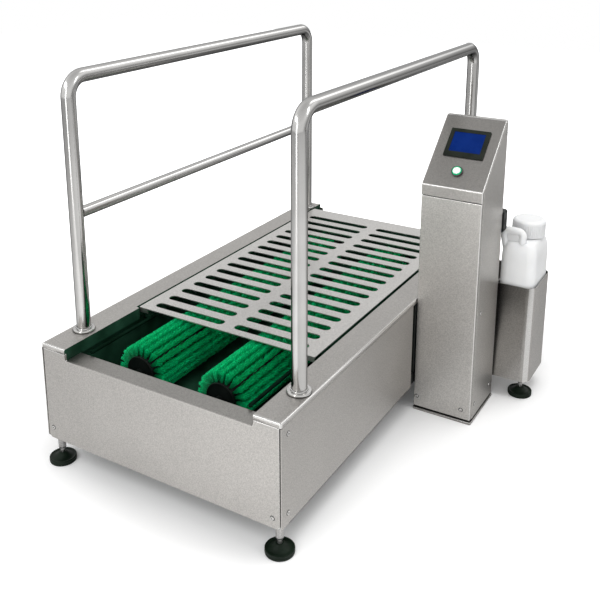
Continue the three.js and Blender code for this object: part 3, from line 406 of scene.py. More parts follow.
def painted_metal(name, colour, roughness):
    """Plain coated or machined metal with a soft mottling."""
    finish = Finish(name)
    cloud = finish.noise(18.0, 5.0)
    fine = finish.noise(700.0, 2.0)
    finish.link(finish.ramp(cloud, ((0.3, toned(colour, 0.8)), (0.7, toned(colour, 1.15)))), "Base Color")
    finish.rough(cloud, roughness - 0.08, roughness + 0.08)
    finish.set(Metallic=0.8)
    finish.bumped(fine, 0.12, 0.0003)
    return finish.material


def display_cover():
    """Dark blue glossy cover of the switched-off operator panel, with a slight fall in tone."""
    finish = Finish("display_cover")
    drift = finish.noise(16.0, 2.0)
    blues = ((0.3, (0.0025, 0.016, 0.115)), (0.7, (0.004, 0.022, 0.15)))
    finish.link(finish.ramp(drift, blues), "Base Color")
    finish.rough(drift, 0.24, 0.32)
    finish.set(Specular_IOR_Level=0.03)
    return finish.material


def glowing_ring():
    """Green translucent ring of the start button, lit from behind."""
    finish = Finish("glowing_ring")
    drift = finish.noise(120.0, 2.0)
    colour = finish.ramp(drift, ((0.3, (0.0, 0.26, 0.11)), (0.7, (0.0, 0.4, 0.17))))
    finish.link(colour, "Base Color")
    finish.link(colour, "Emission Color")
    finish.set(Emission_Strength=0.7, Roughness=0.25)
    return finish.material


SHEET_TONE = (0.595, 0.575, 0.55)
sheet_along_x = ground_sheet("ground_sheet_across", SHEET_TONE, "x")
# A darker copy of the sheet for the sunken thresholds: painted shade.
threshold_sheet = ground_sheet("ground_threshold_sheet", (0.45, 0.435, 0.415), "x")
sheet_along_y = ground_sheet("ground_sheet_along", SHEET_TONE, "y")
sheet_upright = ground_sheet("ground_sheet_upright", (0.695, 0.675, 0.645), "z")
hood_sheet = ground_sheet("ground_hood_sheet", (0.535, 0.516, 0.492), "x", 0.34)
grate_sheet = ground_sheet("ground_grate_sheet", (0.78, 0.765, 0.74), "x", 0.36)
holder_sheet = ground_sheet("ground_holder_sheet", (0.62, 0.6, 0.575), "z", 0.36)
collar_steel = ground_sheet("turned_collar_steel", (0.16, 0.16, 0.155), "z", 0.2)
stem_steel = ground_sheet("turned_stem_steel", (0.58, 0.57, 0.56), "z", 0.25)
screw_steel = ground_sheet("screw_steel", (0.8, 0.79, 0.77), "z", 0.24)
# A lighter, glossier copy of the sheet for the faces of rounded edges: a painted highlight.
fold_highlight_steel = ground_sheet("fold_painted_highlight_steel", (0.84, 0.83, 0.81), "x", 0.24, 0.97)
# Sheets whose marked rounded edges take the painted highlight and whose marked inner walls take the tub's
# painted shade.
folded_sheets = (sheet_along_x, sheet_along_y, sheet_upright, threshold_sheet)
folded_sheets += (hood_sheet, grate_sheet, holder_sheet)
rail_steel = polished_tube()
tub_in_painted_shade = painted_shade_steel("tub_steel_in_painted_shade", 1.45, 0.12)
# Darker still for the spray pipes: painted shade that sinks them into the tub's dark.
pipe_in_painted_shade = painted_shade_steel("pipe_steel_in_painted_shade", 0.35, 0.0)
nylon = {side: bristle_nylon(f"green_nylon_{side}", x) for side, x in BRUSH_X.items()}
black_plastic = moulded_plastic("black_moulding", (0.005, 0.007, 0.006), 0.42)
black_rubber = moulded_plastic("black_rubber", (0.006, 0.012, 0.007), 0.45, 400.0)
bezel_plastic = moulded_plastic("dark_bezel", (0.012, 0.015, 0.011), 0.5)
white_plastic = moulded_plastic("white_moulding", (0.8, 0.81, 0.81), 0.35, spread=0.03)
canister_plastic = milky_plastic()
# Dark castings for the bearings and pulleys: painted shade of the tub's inside.
casting_in_painted_shade = painted_metal("dark_casting", (0.03, 0.033, 0.031), 0.5)
dark_frame = painted_metal("dark_frame_steel", (0.06, 0.065, 0.065), 0.5)
screen_cover = display_cover()
green_glow = glowing_ring()


# Mesh helpers. Faces of a rounded edge carry the FOLD material number, which gets a painted highlight, and
# the ledges' inner walls carry the number that gets the tub's painted shade, until the piece gets its finish.

FOLD = 2
INNER_SHADE = 3


def in_scene(name, data):
    """A new object of the scene."""
    thing = bpy.data.objects.new(name, data)
    bpy.context.collection.objects.link(thing)
    return thing


def new_piece(name, shape, material, body, replaced=()):
    """Puts a finished mesh in the scene as one piece that rides on a CAD body."""
    piece = in_scene(name, shape)
    marked = {}
    for polygon in shape.polygons:
        marked.setdefault(polygon.material_index, []).append(polygon.index)
    shape.materials.clear()
    shape.materials.append(material)
    # Marked faces take the fold's painted highlight or the tub's painted shade.
    for mark, finish in ((FOLD, fold_highlight_steel), (INNER_SHADE, tub_in_painted_shade)):
        if mark in marked and material in folded_sheets:
            shape.materials.append(finish)
            for index in marked[mark]:
                shape.polygons[index].material_index = len(shape.materials) - 1
    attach(piece, body)
    if replaced:
        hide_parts(*replaced)


def baked(piece):
    """The piece's mesh with its modifiers applied."""
    bpy.context.view_layer.update()
    graph = bpy.context.evaluated_depsgraph_get()
    shape = bpy.data.meshes.new_from_object(piece.evaluated_get(graph))
    bpy.data.objects.remove(piece)
    return shape


def smoothed(shape, sharp=50):
    """Shades a mesh smooth but for the edges that are sharper than an angle."""
    for polygon in shape.polygons:
        polygon.use_smooth = True
    shape.set_sharp_from_angle(angle=math.radians(sharp))
    return shape


def bevel_edges(piece, width, segments, angle=32, bright=True):
    edges = piece.modifiers.new("edges", "BEVEL")
    edges.width = width * MILLIMETRE
    edges.segments = segments
    edges.limit_method = "ANGLE"
    edges.angle_limit = math.radians(angle)
    # Bright edges carry the fold number, which gets a painted highlight.
    if bright:
        edges.material = FOLD


def weigh_normals(piece):
    """Keeps the wide faces flat in their shading beside rounded edges."""
    weigh = piece.modifiers.new("shading", "WEIGHTED_NORMAL")
    weigh.keep_sharp = True
    weigh.weight = 100


def shaped(name, work, bevel=0.0, segments=3, wall=0.0, sharp=50, bright=True):
    """Turns a bmesh in millimetres into a mesh in metres with rounded edges, marked for a painted highlight
    or plain.
    """
    bmesh.ops.remove_doubles(work, verts=work.verts, dist=0.01)
    bmesh.ops.recalc_face_normals(work, faces=work.faces)
    for vertex in work.verts:
        vertex.co = placed(*vertex.co)
    shape = bpy.data.meshes.new(name)
    work.to_mesh(shape)
    work.free()
    for _ in range(INNER_SHADE + 1):
        shape.materials.append(None)
    piece = in_scene(name + "_blank", shape)
    if wall:
        fold = piece.modifiers.new("wall", "SOLIDIFY")
        fold.thickness = wall * MILLIMETRE
        fold.offset = -1.0
        fold.use_even_offset = True
    if bevel:
        bevel_edges(piece, bevel, segments, bright=bright)
    smoothed(shape, sharp)
    weigh_normals(piece)
    return baked(piece)


def finish_piece(name, work, material, body, replaced, slot, **edges):
    """Turns a bmesh in millimetres into one finished piece of a body."""
    new_piece(name, shaped(name, work, **edges), material, body, replaced)


def joined(name, shapes):
    """One mesh made of several finished ones."""
    whole = bmesh.new()
    for shape in shapes:
        whole.from_mesh(shape)
    mesh = bpy.data.meshes.new(name)
    whole.to_mesh(mesh)
    whole.free()
    return smoothed(mesh)


def loop_of(work, points):
    return [work.verts.new(point) for point in points]


def bridge(work, lower, upper):
    """Joins two loops by a closed band of faces, and gives the faces back."""
    faces = []
    for i in range(len(lower)):
        j = (i + 1) % len(lower)
        faces.append(work.faces.new((lower[i], lower[j], upper[j], upper[i])))
    return faces


def add_prism(work, outline, axis, start, end):
    """Adds a closed prism: an outline in the two other axes, run along an axis."""
    order = {
        "x": lambda a, b, c: (c, a, b),
        "y": lambda a, b, c: (a, c, b),
        "z": lambda a, b, c: (a, b, c),
    }[axis]
    low = loop_of(work, [order(a, b, start) for a, b in outline])
    high = loop_of(work, [order(a, b, end) for a, b in outline])
    work.faces.new(low)
    work.faces.new(list(reversed(high)))
    for i in range(len(outline)):
        j = (i + 1) % len(outline)
        work.faces.new((low[i], high[i], high[j], low[j]))


def add_block(work, x0, x1, y0, y1, z0, z1):
    add_prism(work, [(x0, y0), (x1, y0), (x1, y1), (x0, y1)], "z", z0, z1)


def arc(a, b, radius, first, last, steps):
    """Points of an arc, in degrees."""
    points = []
    for step in range(steps + 1):
        angle = math.radians(first + (last - first) * step / steps)
        points.append((a + radius * math.cos(angle), b + radius * math.sin(angle)))
    return points


def rounded_rectangle(a0, a1, b0, b1, radii, steps=8):
    """An outline whose corners have the radii for lower left, lower right, upper right, upper left."""
    corners = (
        (a0, b0, 1, 1, 180, radii[0]),
        (a1, b0, -1, 1, 270, radii[1]),
        (a1, b1, -1, -1, 0, radii[2]),
        (a0, b1, 1, -1, 90, radii[3]),
    )
    points = []
    for a, b, side_a, side_b, first, radius in corners:
        if radius > 0:
            points += arc(a + side_a * radius, b + side_b * radius, radius, first, first + 90, steps)
        else:
            points.append((a, b))
    return points


def add_turned(work, profile, centre, steps=64, axis="z"):
    """Adds a profile of (radius, height) pairs turned about an axis through a point."""
    cx, cy, cz = centre
    rings = []
    for radius, height in profile:
        spots = []
        for step in range(steps if radius else 1):
            angle = 2 * math.pi * step / steps
            spots.append((radius * math.cos(angle), radius * math.sin(angle), height))
        if axis == "y":
            spots = [(x, z, y) for x, y, z in spots]
        rings.append(loop_of(work, [(cx + x, cy + y, cz + z) for x, y, z in spots]))
    for lower, upper in zip(rings, rings[1:]):
        if len(lower) == len(upper) == steps:
            bridge(work, lower, upper)
        elif len(lower) == steps:
            for step in range(steps):
                work.faces.new((lower[step], lower[(step + 1) % steps], upper[0]))
        elif len(upper) == steps:
            for step in range(steps):
                work.faces.new((lower[0], upper[(step + 1) % steps], upper[step]))
    return rings


def turned_ring(work, profile, centre, steps=64, axis="z"):
    """Adds a turned profile that closes on itself."""
    rings = add_turned(work, profile, centre, steps, axis)
    bridge(work, rings[-1], rings[0])


def add_tube(work, corners, radius, bend=0.0, around=48, bend_steps=18):
    """Adds a round tube along a path whose corners are bent to a radius."""
    points = [Vector(corner) for corner in corners]
    path = [(points[0], (points[1] - points[0]).normalized())]
    for before, corner, after in zip(points, points[1:], points[2:]):
        into = (corner - before).normalized()
        out = (after - corner).normalized()
        turn = into.angle(out)
        reach = bend * math.tan(turn / 2)
        inward = (out - into * out.dot(into)).normalized()
        centre = corner - into * reach + inward * bend
        for step in range(bend_steps + 1):
            angle = turn * step / bend_steps
            spot = centre - inward * bend * math.cos(angle) + into * bend * math.sin(angle)
            path.append((spot, into * math.cos(angle) + inward * math.sin(angle)))
    path.append((points[-1], (points[-1] - points[-2]).normalized()))
    side = path[0][1].orthogonal().normalized()
    rings = []
    for spot, heading in path:
        side = (side - heading * side.dot(heading)).normalized()
        other = heading.cross(side)
        ring = []
        for step in range(around):
            angle = 2 * math.pi * step / around
            ring.append(spot + side * radius * math.cos(angle) + other * radius * math.sin(angle))
        rings.append(loop_of(work, ring))
    for lower, upper in zip(rings, rings[1:]):
        bridge(work, lower, upper)
    work.faces.new(rings[0])
    work.faces.new(list(reversed(rings[-1])))


def mirrored_to_rear(work):
    for vertex in work.verts:
        vertex.co.y = BODY_LENGTH - vertex.co.y


# Panels and ledges


def end_panel_blank():
    """The notched end panel with its folded edges, its face towards the front."""
    work = bmesh.new()
    left = SHEET + END_PANEL_REVEAL
    right = BODY_WIDTH - left
    radius = PANEL_CORNER
    outline = arc(left + radius, BODY_FOOT + radius, radius, 180, 270, 5)
    outline += arc(right - radius, BODY_FOOT + radius, radius, 270, 360, 5)
    outline += [
        (right, PANEL_TOP),
        (RIGHT_LEDGE_INNER, PANEL_TOP),
        (RIGHT_LEDGE_INNER, THRESHOLD_TOP),
        (LEFT_NOTCH, THRESHOLD_TOP),
        (LEFT_NOTCH, PANEL_TOP),
        (left, PANEL_TOP),
    ]
    add_prism(work, outline, "y", 0, END_PANEL_DEPTH)
    front_edges = []
    corner_edges = []
    for edge in work.edges:
        a, b = (vertex.co for vertex in edge.verts)
        if a.y == b.y == 0 and min(a.z, b.z) < PANEL_TOP:
            front_edges.append(edge)
        elif a.y != b.y and a.z > THRESHOLD_TOP - 1:
            corner_edges.append(edge)
    settings = {"segments": 4, "profile": 0.5, "affect": "EDGES", "clamp_overlap": True, "material": FOLD}
    bmesh.ops.bevel(work, geom=front_edges + corner_edges, offset=END_PANEL_EDGE, **settings)
    return work


def make_end_panels():
    for end in ("front", "rear"):
        work = end_panel_blank()
        if end == "rear":
            mirrored_to_rear(work)
        finish_piece(f"{end}_panel_sheet", work, sheet_along_x, "housing", (f"{end}_panel",), "sheet_steel")


def make_side_panels():
    break_start, break_end = RIGHT_PANELS_BREAK
    sides = (
        ("left_side_panel", 0, SHEET, 0, BODY_LENGTH),
        ("right_front_panel", BODY_WIDTH - SHEET, BODY_WIDTH, 0, break_start),
        ("right_rear_panel", BODY_WIDTH - SHEET, BODY_WIDTH, break_end, BODY_LENGTH),
    )
    for node, x0, x1, y0, y1 in sides:
        work = bmesh.new()
        front_radius = PANEL_CORNER if y0 == 0 else 0
        rear_radius = PANEL_CORNER if y1 == BODY_LENGTH else 0
        outline = rounded_rectangle(y0, y1, BODY_FOOT, PANEL_TOP, (front_radius, rear_radius, 0, 0), 5)
        add_prism(work, outline, "x", x0, x1)
        low, high = (x0, x0 + PANEL_FLANGE) if x0 == 0 else (x1 - PANEL_FLANGE, x1)
        start = max(y0, END_PANEL_DEPTH + SEAM) + PANEL_FLANGE_INSET
        end = min(y1, BODY_LENGTH - END_PANEL_DEPTH - SEAM) - PANEL_FLANGE_INSET
        add_block(work, low, high, start, end, BODY_FOOT, BODY_FOOT + SHEET)
        edges = {"bevel": 0.7, "segments": 2, "bright": False}
        finish_piece(node + "_sheet", work, sheet_along_y, "housing", (node,), "sheet_steel", **edges)


def ledge_blank(plan, inner_edges):
    """A ledge's outer skin: the top and the walls that hang from it, open below."""
    work = bmesh.new()
    skirt = LEDGE_TOP - LEDGE_SKIRT
    lip = LEDGE_TOP - LEDGE_LIP
    top = loop_of(work, [(x, y, LEDGE_TOP) for x, y in plan])
    work.faces.new(top)
    for i in range(len(plan)):
        j = (i + 1) % len(plan)
        (x0, y0), (x1, y1) = plan[i], plan[j]
        if i in inner_edges:
            corners = []
            for x, y in ((x0, y0), (x1, y1)):
                if y in (0, BODY_LENGTH):
                    inset = END_PANEL_DEPTH + GAP
                    inner_y = y + inset if y == 0 else y - inset
                    steps = [(x, y, skirt), (x, inner_y, skirt), (x, inner_y, lip)]
                    corners += steps if (x, y) == (x0, y0) else list(reversed(steps))
                else:
                    corners.append((x, y, lip))
        else:
            corners = [(x0, y0, skirt), (x1, y1, skirt)]
        work.faces.new([top[i]] + loop_of(work, corners) + [top[j]])
    bmesh.ops.remove_doubles(work, verts=work.verts, dist=0.01)
    return work


def round_ledge(work, outer_x):
    """Rounds the ledge's folds: wide along the outside and the ends, tighter along the walkway."""
    wide = []
    tight = []
    for edge in work.edges:
        if len(edge.link_faces) != 2:
            continue
        a, b = (vertex.co for vertex in edge.verts)
        on_top = a.z == LEDGE_TOP and b.z == LEDGE_TOP
        along_end = abs(a.y - b.y) < 0.01 and a.y in (0, BODY_LENGTH)
        outside = a.x == outer_x and b.x == outer_x
        if outside or (on_top and along_end):
            wide.append(edge)
        else:
            tight.append(edge)
    settings = {"profile": 0.5, "affect": "EDGES", "clamp_overlap": True, "material": FOLD}
    bmesh.ops.bevel(work, geom=wide, offset=WIDE_FOLD, segments=5, **settings)
    tight = [edge for edge in tight if edge.is_valid]
    bmesh.ops.bevel(work, geom=tight, offset=TIGHT_FOLD, segments=4, **settings)


def shade_inner_walls(shape, towards):
    """Marks the ledge's hanging walls that face the brushes, which take the tub's painted shade."""
    for polygon in shape.polygons:
        if polygon.normal.x * towards > 0.9 and polygon.center.z < (LEDGE_TOP - 5) * MILLIMETRE:
            polygon.material_index = INNER_SHADE


def make_ledges():
    left_plan = [
        (0, 0),
        (LEFT_NOTCH, 0),
        (LEFT_NOTCH, LEFT_LEDGE_STEP),
        (LEFT_LEDGE_WIDTH, LEFT_LEDGE_STEP),
        (LEFT_LEDGE_WIDTH, BODY_LENGTH),
        (0, BODY_LENGTH),
    ]
    right_plan = [
        (RIGHT_LEDGE_INNER, 0),
        (BODY_WIDTH, 0),
        (BODY_WIDTH, BODY_LENGTH),
        (RIGHT_LEDGE_INNER, BODY_LENGTH),
    ]
    ledges = (("left", left_plan, (1, 2, 3), 0, 1), ("right", right_plan, (3,), BODY_WIDTH, -1))
    for side, plan, inner_edges, outer_x, towards_brushes in ledges:
        work = ledge_blank(plan, inner_edges)
        round_ledge(work, outer_x)
        name = f"{side}_ledge_sheet"
        shape = shaped(name, work, wall=LEDGE_WALL)
        shade_inner_walls(shape, towards_brushes)
        new_piece(name, shape, sheet_along_y, "housing", (f"{side}_ledge",))


def make_thresholds():
    start = END_PANEL_DEPTH + SEAM
    low = THRESHOLD_TOP - SHEET - THRESHOLD_LIP
    bend = (THRESHOLD_DEPTH - THRESHOLD_BEND, THRESHOLD_TOP - THRESHOLD_BEND)
    outline = [(start, THRESHOLD_TOP)] + arc(*bend, THRESHOLD_BEND, 90, 0, 6) + [(THRESHOLD_DEPTH, low)]
    outline += [(THRESHOLD_DEPTH - SHEET, low)] + arc(*bend, THRESHOLD_BEND - SHEET, 0, 90, 4)
    outline += [(start, THRESHOLD_TOP - SHEET)]
    for end in ("front", "rear"):
        work = bmesh.new()
        add_prism(work, outline, "x", LEFT_NOTCH + GAP, RIGHT_LEDGE_INNER - GAP)
        if end == "rear":
            mirrored_to_rear(work)
        name = f"{end}_threshold_sheet"
        edges = {"bevel": 0.5, "segments": 2, "bright": False}
        finish_piece(name, work, threshold_sheet, "housing", (f"{end}_threshold",), "sheet_steel", **edges)


# Geometry Nodes helpers


class NodeTree(Nodes):
    """A Geometry Nodes tree with named inputs, applied to a mesh and baked."""

    def __init__(self, name):
        self.tree = bpy.data.node_groups.new(name, "GeometryNodeTree")
        self.tree.interface.new_socket("Geometry", in_out="INPUT", socket_type="NodeSocketGeometry")
        self.tree.interface.new_socket("Geometry", in_out="OUTPUT", socket_type="NodeSocketGeometry")
        self.entry = self.tree.nodes.new("NodeGroupInput")
        self.exit = self.tree.nodes.new("NodeGroupOutput")
        self.values = {}

    def size(self, name, value, kind="NodeSocketFloat"):
        """A named input of the tree, with the value that it gets."""
        socket = self.tree.interface.new_socket(name, in_out="INPUT", socket_type=kind)
        self.values[socket.identifier] = value
        return self.entry.outputs[name]

    def length(self, name, millimetres):
        return self.size(name, millimetres * MILLIMETRE)

    def count(self, name, number):
        return self.size(name, number, "NodeSocketInt")

    def vector(self, x, y, z):
        return self.made("ShaderNodeCombineXYZ", "Vector", {"X": x, "Y": y, "Z": z})

    def random(self, low, high, seed, index):
        inputs = {2: low, 3: high, "Seed": seed, "ID": index}
        return self.made("FunctionNodeRandomValue", 1, inputs, data_type="FLOAT")

    def rounded_frame(self, width, height, radius, corner_points):
        """A curve round a rectangle with round corners."""
        sides = {"Width": width, "Height": height}
        rectangle = self.made("GeometryNodeCurvePrimitiveQuadrilateral", "Curve", sides)
        inputs = {"Curve": rectangle, "Radius": radius, "Count": corner_points}
        return self.made("GeometryNodeFilletCurve", "Curve", inputs, mode="POLY")

    def moved(self, geometry, way):
        return self.made("GeometryNodeTransform", "Geometry", {"Geometry": geometry, "Translation": way})

    def joined(self, *parts):
        node = self.node("GeometryNodeJoinGeometry")
        for part in parts:
            self.tree.links.new(part, node.inputs["Geometry"])
        return node.outputs["Geometry"]

    def real(self, geometry):
        return self.made("GeometryNodeRealizeInstances", "Geometry", {"Geometry": geometry})

    def on_points(self, points, instance, **turns):
        inputs = {"Points": points, "Instance": instance, **turns}
        return self.made("GeometryNodeInstanceOnPoints", "Instances", inputs)

    def facing(self, way):
        """A turn that points the Z axis along a direction."""
        return self.made("FunctionNodeAlignRotationToVector", "Rotation", {"Vector": way}, axis="Z")

    def finish(self, geometry, material, name, start=None):
        """Ends the tree and puts it on a mesh, with room for the faces' marks."""
        inputs = {"Geometry": self.real(geometry), "Material": material}
        dressed = self.made("GeometryNodeSetMaterial", "Geometry", inputs)
        self.tree.links.new(dressed, self.exit.inputs["Geometry"])
        start = start or bpy.data.meshes.new(name)
        for _ in range(FOLD + 1):
            start.materials.append(None)
        carrier = in_scene(name + "_carrier", start)
        modifier = carrier.modifiers.new("nodes", "NODES")
        modifier.node_group = self.tree
        for identifier, value in self.values.items():
            modifier[identifier] = value
        return carrier


def grate_plate():
    """The slotted sheet: slots set out by the tree, the sheet filled round them and given its thickness."""
    tree = NodeTree("slotted_grate")
    width = tree.length("Slot width", SLOT_WIDTH)
    pitch = tree.length("Slot pitch", SLOT_PITCH)
    rows = tree.count("Slot rows", SLOT_ROWS)
    thickness = tree.length("Sheet thickness", GRATE_SHEET)
    corner = tree.length("Sheet corner radius", GRATE_CORNER)
    sheet_width = (GRATE_RIGHT - GRATE_LEFT) * MILLIMETRE
    sheet_length = (GRATE_REAR - GRATE_FRONT) * MILLIMETRE
    middle = placed((GRATE_LEFT + GRATE_RIGHT) / 2, (GRATE_FRONT + GRATE_REAR) / 2, 0)
    curves = [tree.moved(tree.rounded_frame(sheet_width, sheet_length, corner, 4), middle)]
    slot_radius = tree.math("MULTIPLY", width, 0.499)
    step = tree.vector(0.0, pitch, 0.0)
    for first, last in (LEFT_SLOTS, RIGHT_SLOTS):
        slot = tree.rounded_frame((last - first) * MILLIMETRE, width, slot_radius, 10)
        start = placed((first + last) / 2, FIRST_SLOT, 0)
        row = {"Count": rows, "Start Location": start, "Offset": step}
        line = tree.made("GeometryNodeMeshLine", "Mesh", row, mode="OFFSET")
        curves.append(tree.on_points(line, slot))
    outlines = tree.real(tree.joined(*curves))
    sheet = tree.made("GeometryNodeFillCurve", "Mesh", {"Curve": outlines}, mode="TRIANGLES")
    sheet = tree.moved(sheet, Vector((0.0, 0.0, (LEDGE_TOP - GRATE_SHEET) * MILLIMETRE)))
    lift = {"Mesh": sheet, "Offset Scale": thickness, "Individual": False}
    raised = tree.made("GeometryNodeExtrudeMesh", "Mesh", lift, mode="FACES")
    under = tree.made("GeometryNodeFlipFaces", "Mesh", {"Mesh": sheet})
    both = {"Geometry": tree.joined(raised, under), "Distance": 0.00002}
    solid = tree.made("GeometryNodeMergeByDistance", "Geometry", both)
    carrier = tree.finish(solid, grate_sheet, "grate_sheet")
    bevel_edges(carrier, GRATE_EDGE, 2, angle=40)
    return baked(carrier)


def make_grate():
    """The slotted sheet with the tabs bent down at its corners and the rib under its middle.

    The tabs keep a little inside the sheet's sides and faces, so that no two faces coincide.
    """
    plate = grate_plate()
    below = bmesh.new()
    top = LEDGE_TOP - GRATE_SHEET / 2
    tab_foot = LEDGE_TOP - GRATE_TAB_DROP
    side, face = 0.5, 0.2
    for y in (GRATE_FRONT, GRATE_REAR - GRATE_SHEET):
        for x in (GRATE_LEFT, GRATE_RIGHT - GRATE_TAB):
            tab = (x + side, x + GRATE_TAB - side, y + face, y + GRATE_SHEET - face)
            add_block(below, *tab, tab_foot, top)
    middle = (LEFT_SLOTS[1] + RIGHT_SLOTS[0]) / 2
    rib_sides = (middle - GRATE_RIB_HALF, middle + GRATE_RIB_HALF)
    add_block(below, *rib_sides, GRATE_FRONT + GRATE_TAB, GRATE_RIB_REAR, GRATE_RIB_FOOT, top)
    tabs = shaped("grate_tabs", below, bevel=0.8, segments=2)
    blank = in_scene("grate_blank", joined("grate_sheet", (plate, tabs)))
    weigh_normals(blank)
    new_piece("grate_sheet", baked(blank), grate_sheet, "walking_grate", ("grate",))


# Brushes


def bristle_field(name, side, start, end, step, strands, thickness, seed):
    """Rows of tufts of tapered strands round the brush core, between two places along it."""
    tree = NodeTree(name)
    tufts = int((end - start) / step)
    row_count = tree.count("Rows round the core", TUFT_ROWS)
    per_row = tree.count("Tufts in a row", tufts)
    per_tuft = tree.count("Strands in a tuft", strands)
    tuft_step = tree.length("Tuft step", step)
    half_step = tree.math("MULTIPLY", tuft_step, 0.5)
    root = tree.length("Root radius", BRISTLE_ROOT)
    tip = tree.length("Tip radius", BRISTLE_TIP - 0.8)
    spread = tree.length("Row spread", 3.4)
    thick = tree.length("Strand thickness", thickness)
    centre = placed(BRUSH_X[side], start, BRUSH_Z)

    index = tree.made("GeometryNodeInputIndex", "Index")
    tuft = tree.math("FLOOR", tree.math("DIVIDE", tree.math("ADD", index, 0.5), per_tuft))
    row = tree.math("FLOOR", tree.math("DIVIDE", tree.math("ADD", tuft, 0.5), per_row))
    place = tree.math("SUBTRACT", tuft, tree.math("MULTIPLY", row, per_row))
    odd = tree.math("MODULO", row, 2.0)
    along = tree.math("ADD", place, tree.math("MULTIPLY", odd, 0.5))
    along = tree.math("MULTIPLY", along, tuft_step)
    angle = tree.math("MULTIPLY", row, tree.math("DIVIDE", 2 * math.pi, row_count))

    side_shift = tree.random(-1.0, 1.0, seed, index)
    long_shift = tree.random(-1.0, 1.0, seed + 1, index)
    lean_side = tree.random(-0.07, 0.07, seed + 2, index)
    lean_long = tree.random(-0.05, 0.05, seed + 3, index)
    length = tree.random(0.94, 1.0, seed + 4, index)
    tuft_lean = tree.random(-0.018, 0.018, seed + 5, tuft)

    angle_root = tree.math("ADD", angle, tree.math("DIVIDE", tree.math("MULTIPLY", side_shift, spread), root))
    angle_tip = tree.math("ADD", angle_root, tree.math("ADD", lean_side, tuft_lean))
    along_root = tree.math("ADD", along, tree.math("MULTIPLY", long_shift, half_step))
    along_tip = tree.math("ADD", along_root, tree.math("MULTIPLY", lean_long, tip))
    along_tip = tree.math("MINIMUM", tree.math("MAXIMUM", along_tip, 0.0), (end - start) * MILLIMETRE)

    def spot(at_angle, at_radius, at_length):
        x = tree.math("ADD", tree.math("MULTIPLY", tree.math("COSINE", at_angle), at_radius), centre.x)
        y = tree.math("ADD", at_length, centre.y)
        z = tree.math("ADD", tree.math("MULTIPLY", tree.math("SINE", at_angle), at_radius), centre.z)
        return tree.vector(x, y, z)

    root_spot = spot(angle_root, root, along_root)
    tip_spot = spot(angle_tip, tree.math("MULTIPLY", tip, length), along_tip)
    heading = tree.vector_math("SUBTRACT", "Vector", tip_spot, root_spot)
    strand_length = tree.vector_math("LENGTH", "Value", heading)
    points = tree.made("GeometryNodeMeshLine", "Mesh", {"Count": tufts * TUFT_ROWS * strands}, mode="OFFSET")
    roots = tree.made("GeometryNodeSetPosition", "Geometry", {"Geometry": points, "Position": root_spot})
    taper = {"Vertices": 3, "Side Segments": 1, "Radius Top": 0.62, "Radius Bottom": 1.0, "Depth": 1.0}
    strand = tree.made("GeometryNodeMeshCone", "Mesh", taper, fill_type="NGON")
    scale = tree.vector(thick, thick, strand_length)
    field = tree.on_points(roots, strand, Rotation=tree.facing(heading), Scale=scale)
    return baked(tree.finish(field, nylon[side], name))


def make_brushes():
    """Fine strands where the brush is open to view, thicker and fewer ones over a bed under the grate."""
    bed_end = BRUSH_END - 8
    bed = [
        (BED_FOOT, BED_START),
        (BED_CROWN - 3, BED_START),
        (BED_CROWN, BED_START + 4),
        (BED_CROWN, bed_end - 4),
        (BED_CROWN - 3, bed_end),
        (BED_FOOT, bed_end),
    ]
    front_disc = [
        (30, BRUSH_START - 0.2),
        (33, BRUSH_START + 1.5),
        (44, BRUSH_START + 1.5),
        (46.5, BRUSH_START),
        (DISC_RADIUS - 1, BRUSH_START),
        (DISC_RADIUS, BRUSH_START + 1.2),
        (DISC_RADIUS, BRUSH_START + BRUSH_DISC - 1),
        (DISC_RADIUS - 1.5, BRUSH_START + BRUSH_DISC),
    ]
    rear_disc = [
        (DISC_RADIUS - 1.5, BRUSH_END - BRUSH_DISC),
        (DISC_RADIUS, BRUSH_END - BRUSH_DISC + 1),
        (DISC_RADIUS, BRUSH_END - 1),
        (DISC_RADIUS - 1, BRUSH_END),
    ]
    front_shaft = [(0, SHAFT_START), (SHAFT_RADIUS, SHAFT_START), (SHAFT_RADIUS, BRUSH_START - 0.2)]
    rear_shaft = [(SHAFT_RADIUS, BRUSH_END), (SHAFT_RADIUS, SHAFT_END), (0, SHAFT_END)]
    for side, seed in (("left", 40), ("right", 60)):
        body = f"{side}_brush"
        tufts = (f"{side}_brush_tufts",)
        centre = (BRUSH_X[side], 0, BRUSH_Z)
        fine = {"step": 4.0, "strands": 19, "thickness": 0.85, "seed": seed}
        coarse = {"step": 5.0, "strands": 7, "thickness": 1.75, "seed": seed + 10}
        front, rear = f"{side}_front_bristles", f"{side}_rear_bristles"
        open_bristles = bristle_field(front, side, BRUSH_START + BRUSH_DISC, FINE_BRISTLES_END, **fine)
        covered_bristles = bristle_field(rear, side, FINE_BRISTLES_END, BRUSH_END - BRUSH_DISC, **coarse)
        new_piece(front, open_bristles, nylon[side], body, tufts)
        new_piece(rear, covered_bristles, nylon[side], body, tufts)
        work = bmesh.new()
        turned_ring(work, bed, centre, 96, "y")
        finish_piece(f"{side}_bristle_bed", work, nylon[side], body, tufts, "green_bristle", sharp=40)
        work = bmesh.new()
        add_turned(work, front_shaft + front_disc + rear_disc + rear_shaft, centre, 64, "y")
        core = (f"{side}_brush_core",)
        finish_piece(f"{side}_brush_hub", work, black_plastic, body, core, "black_plastic", sharp=35)


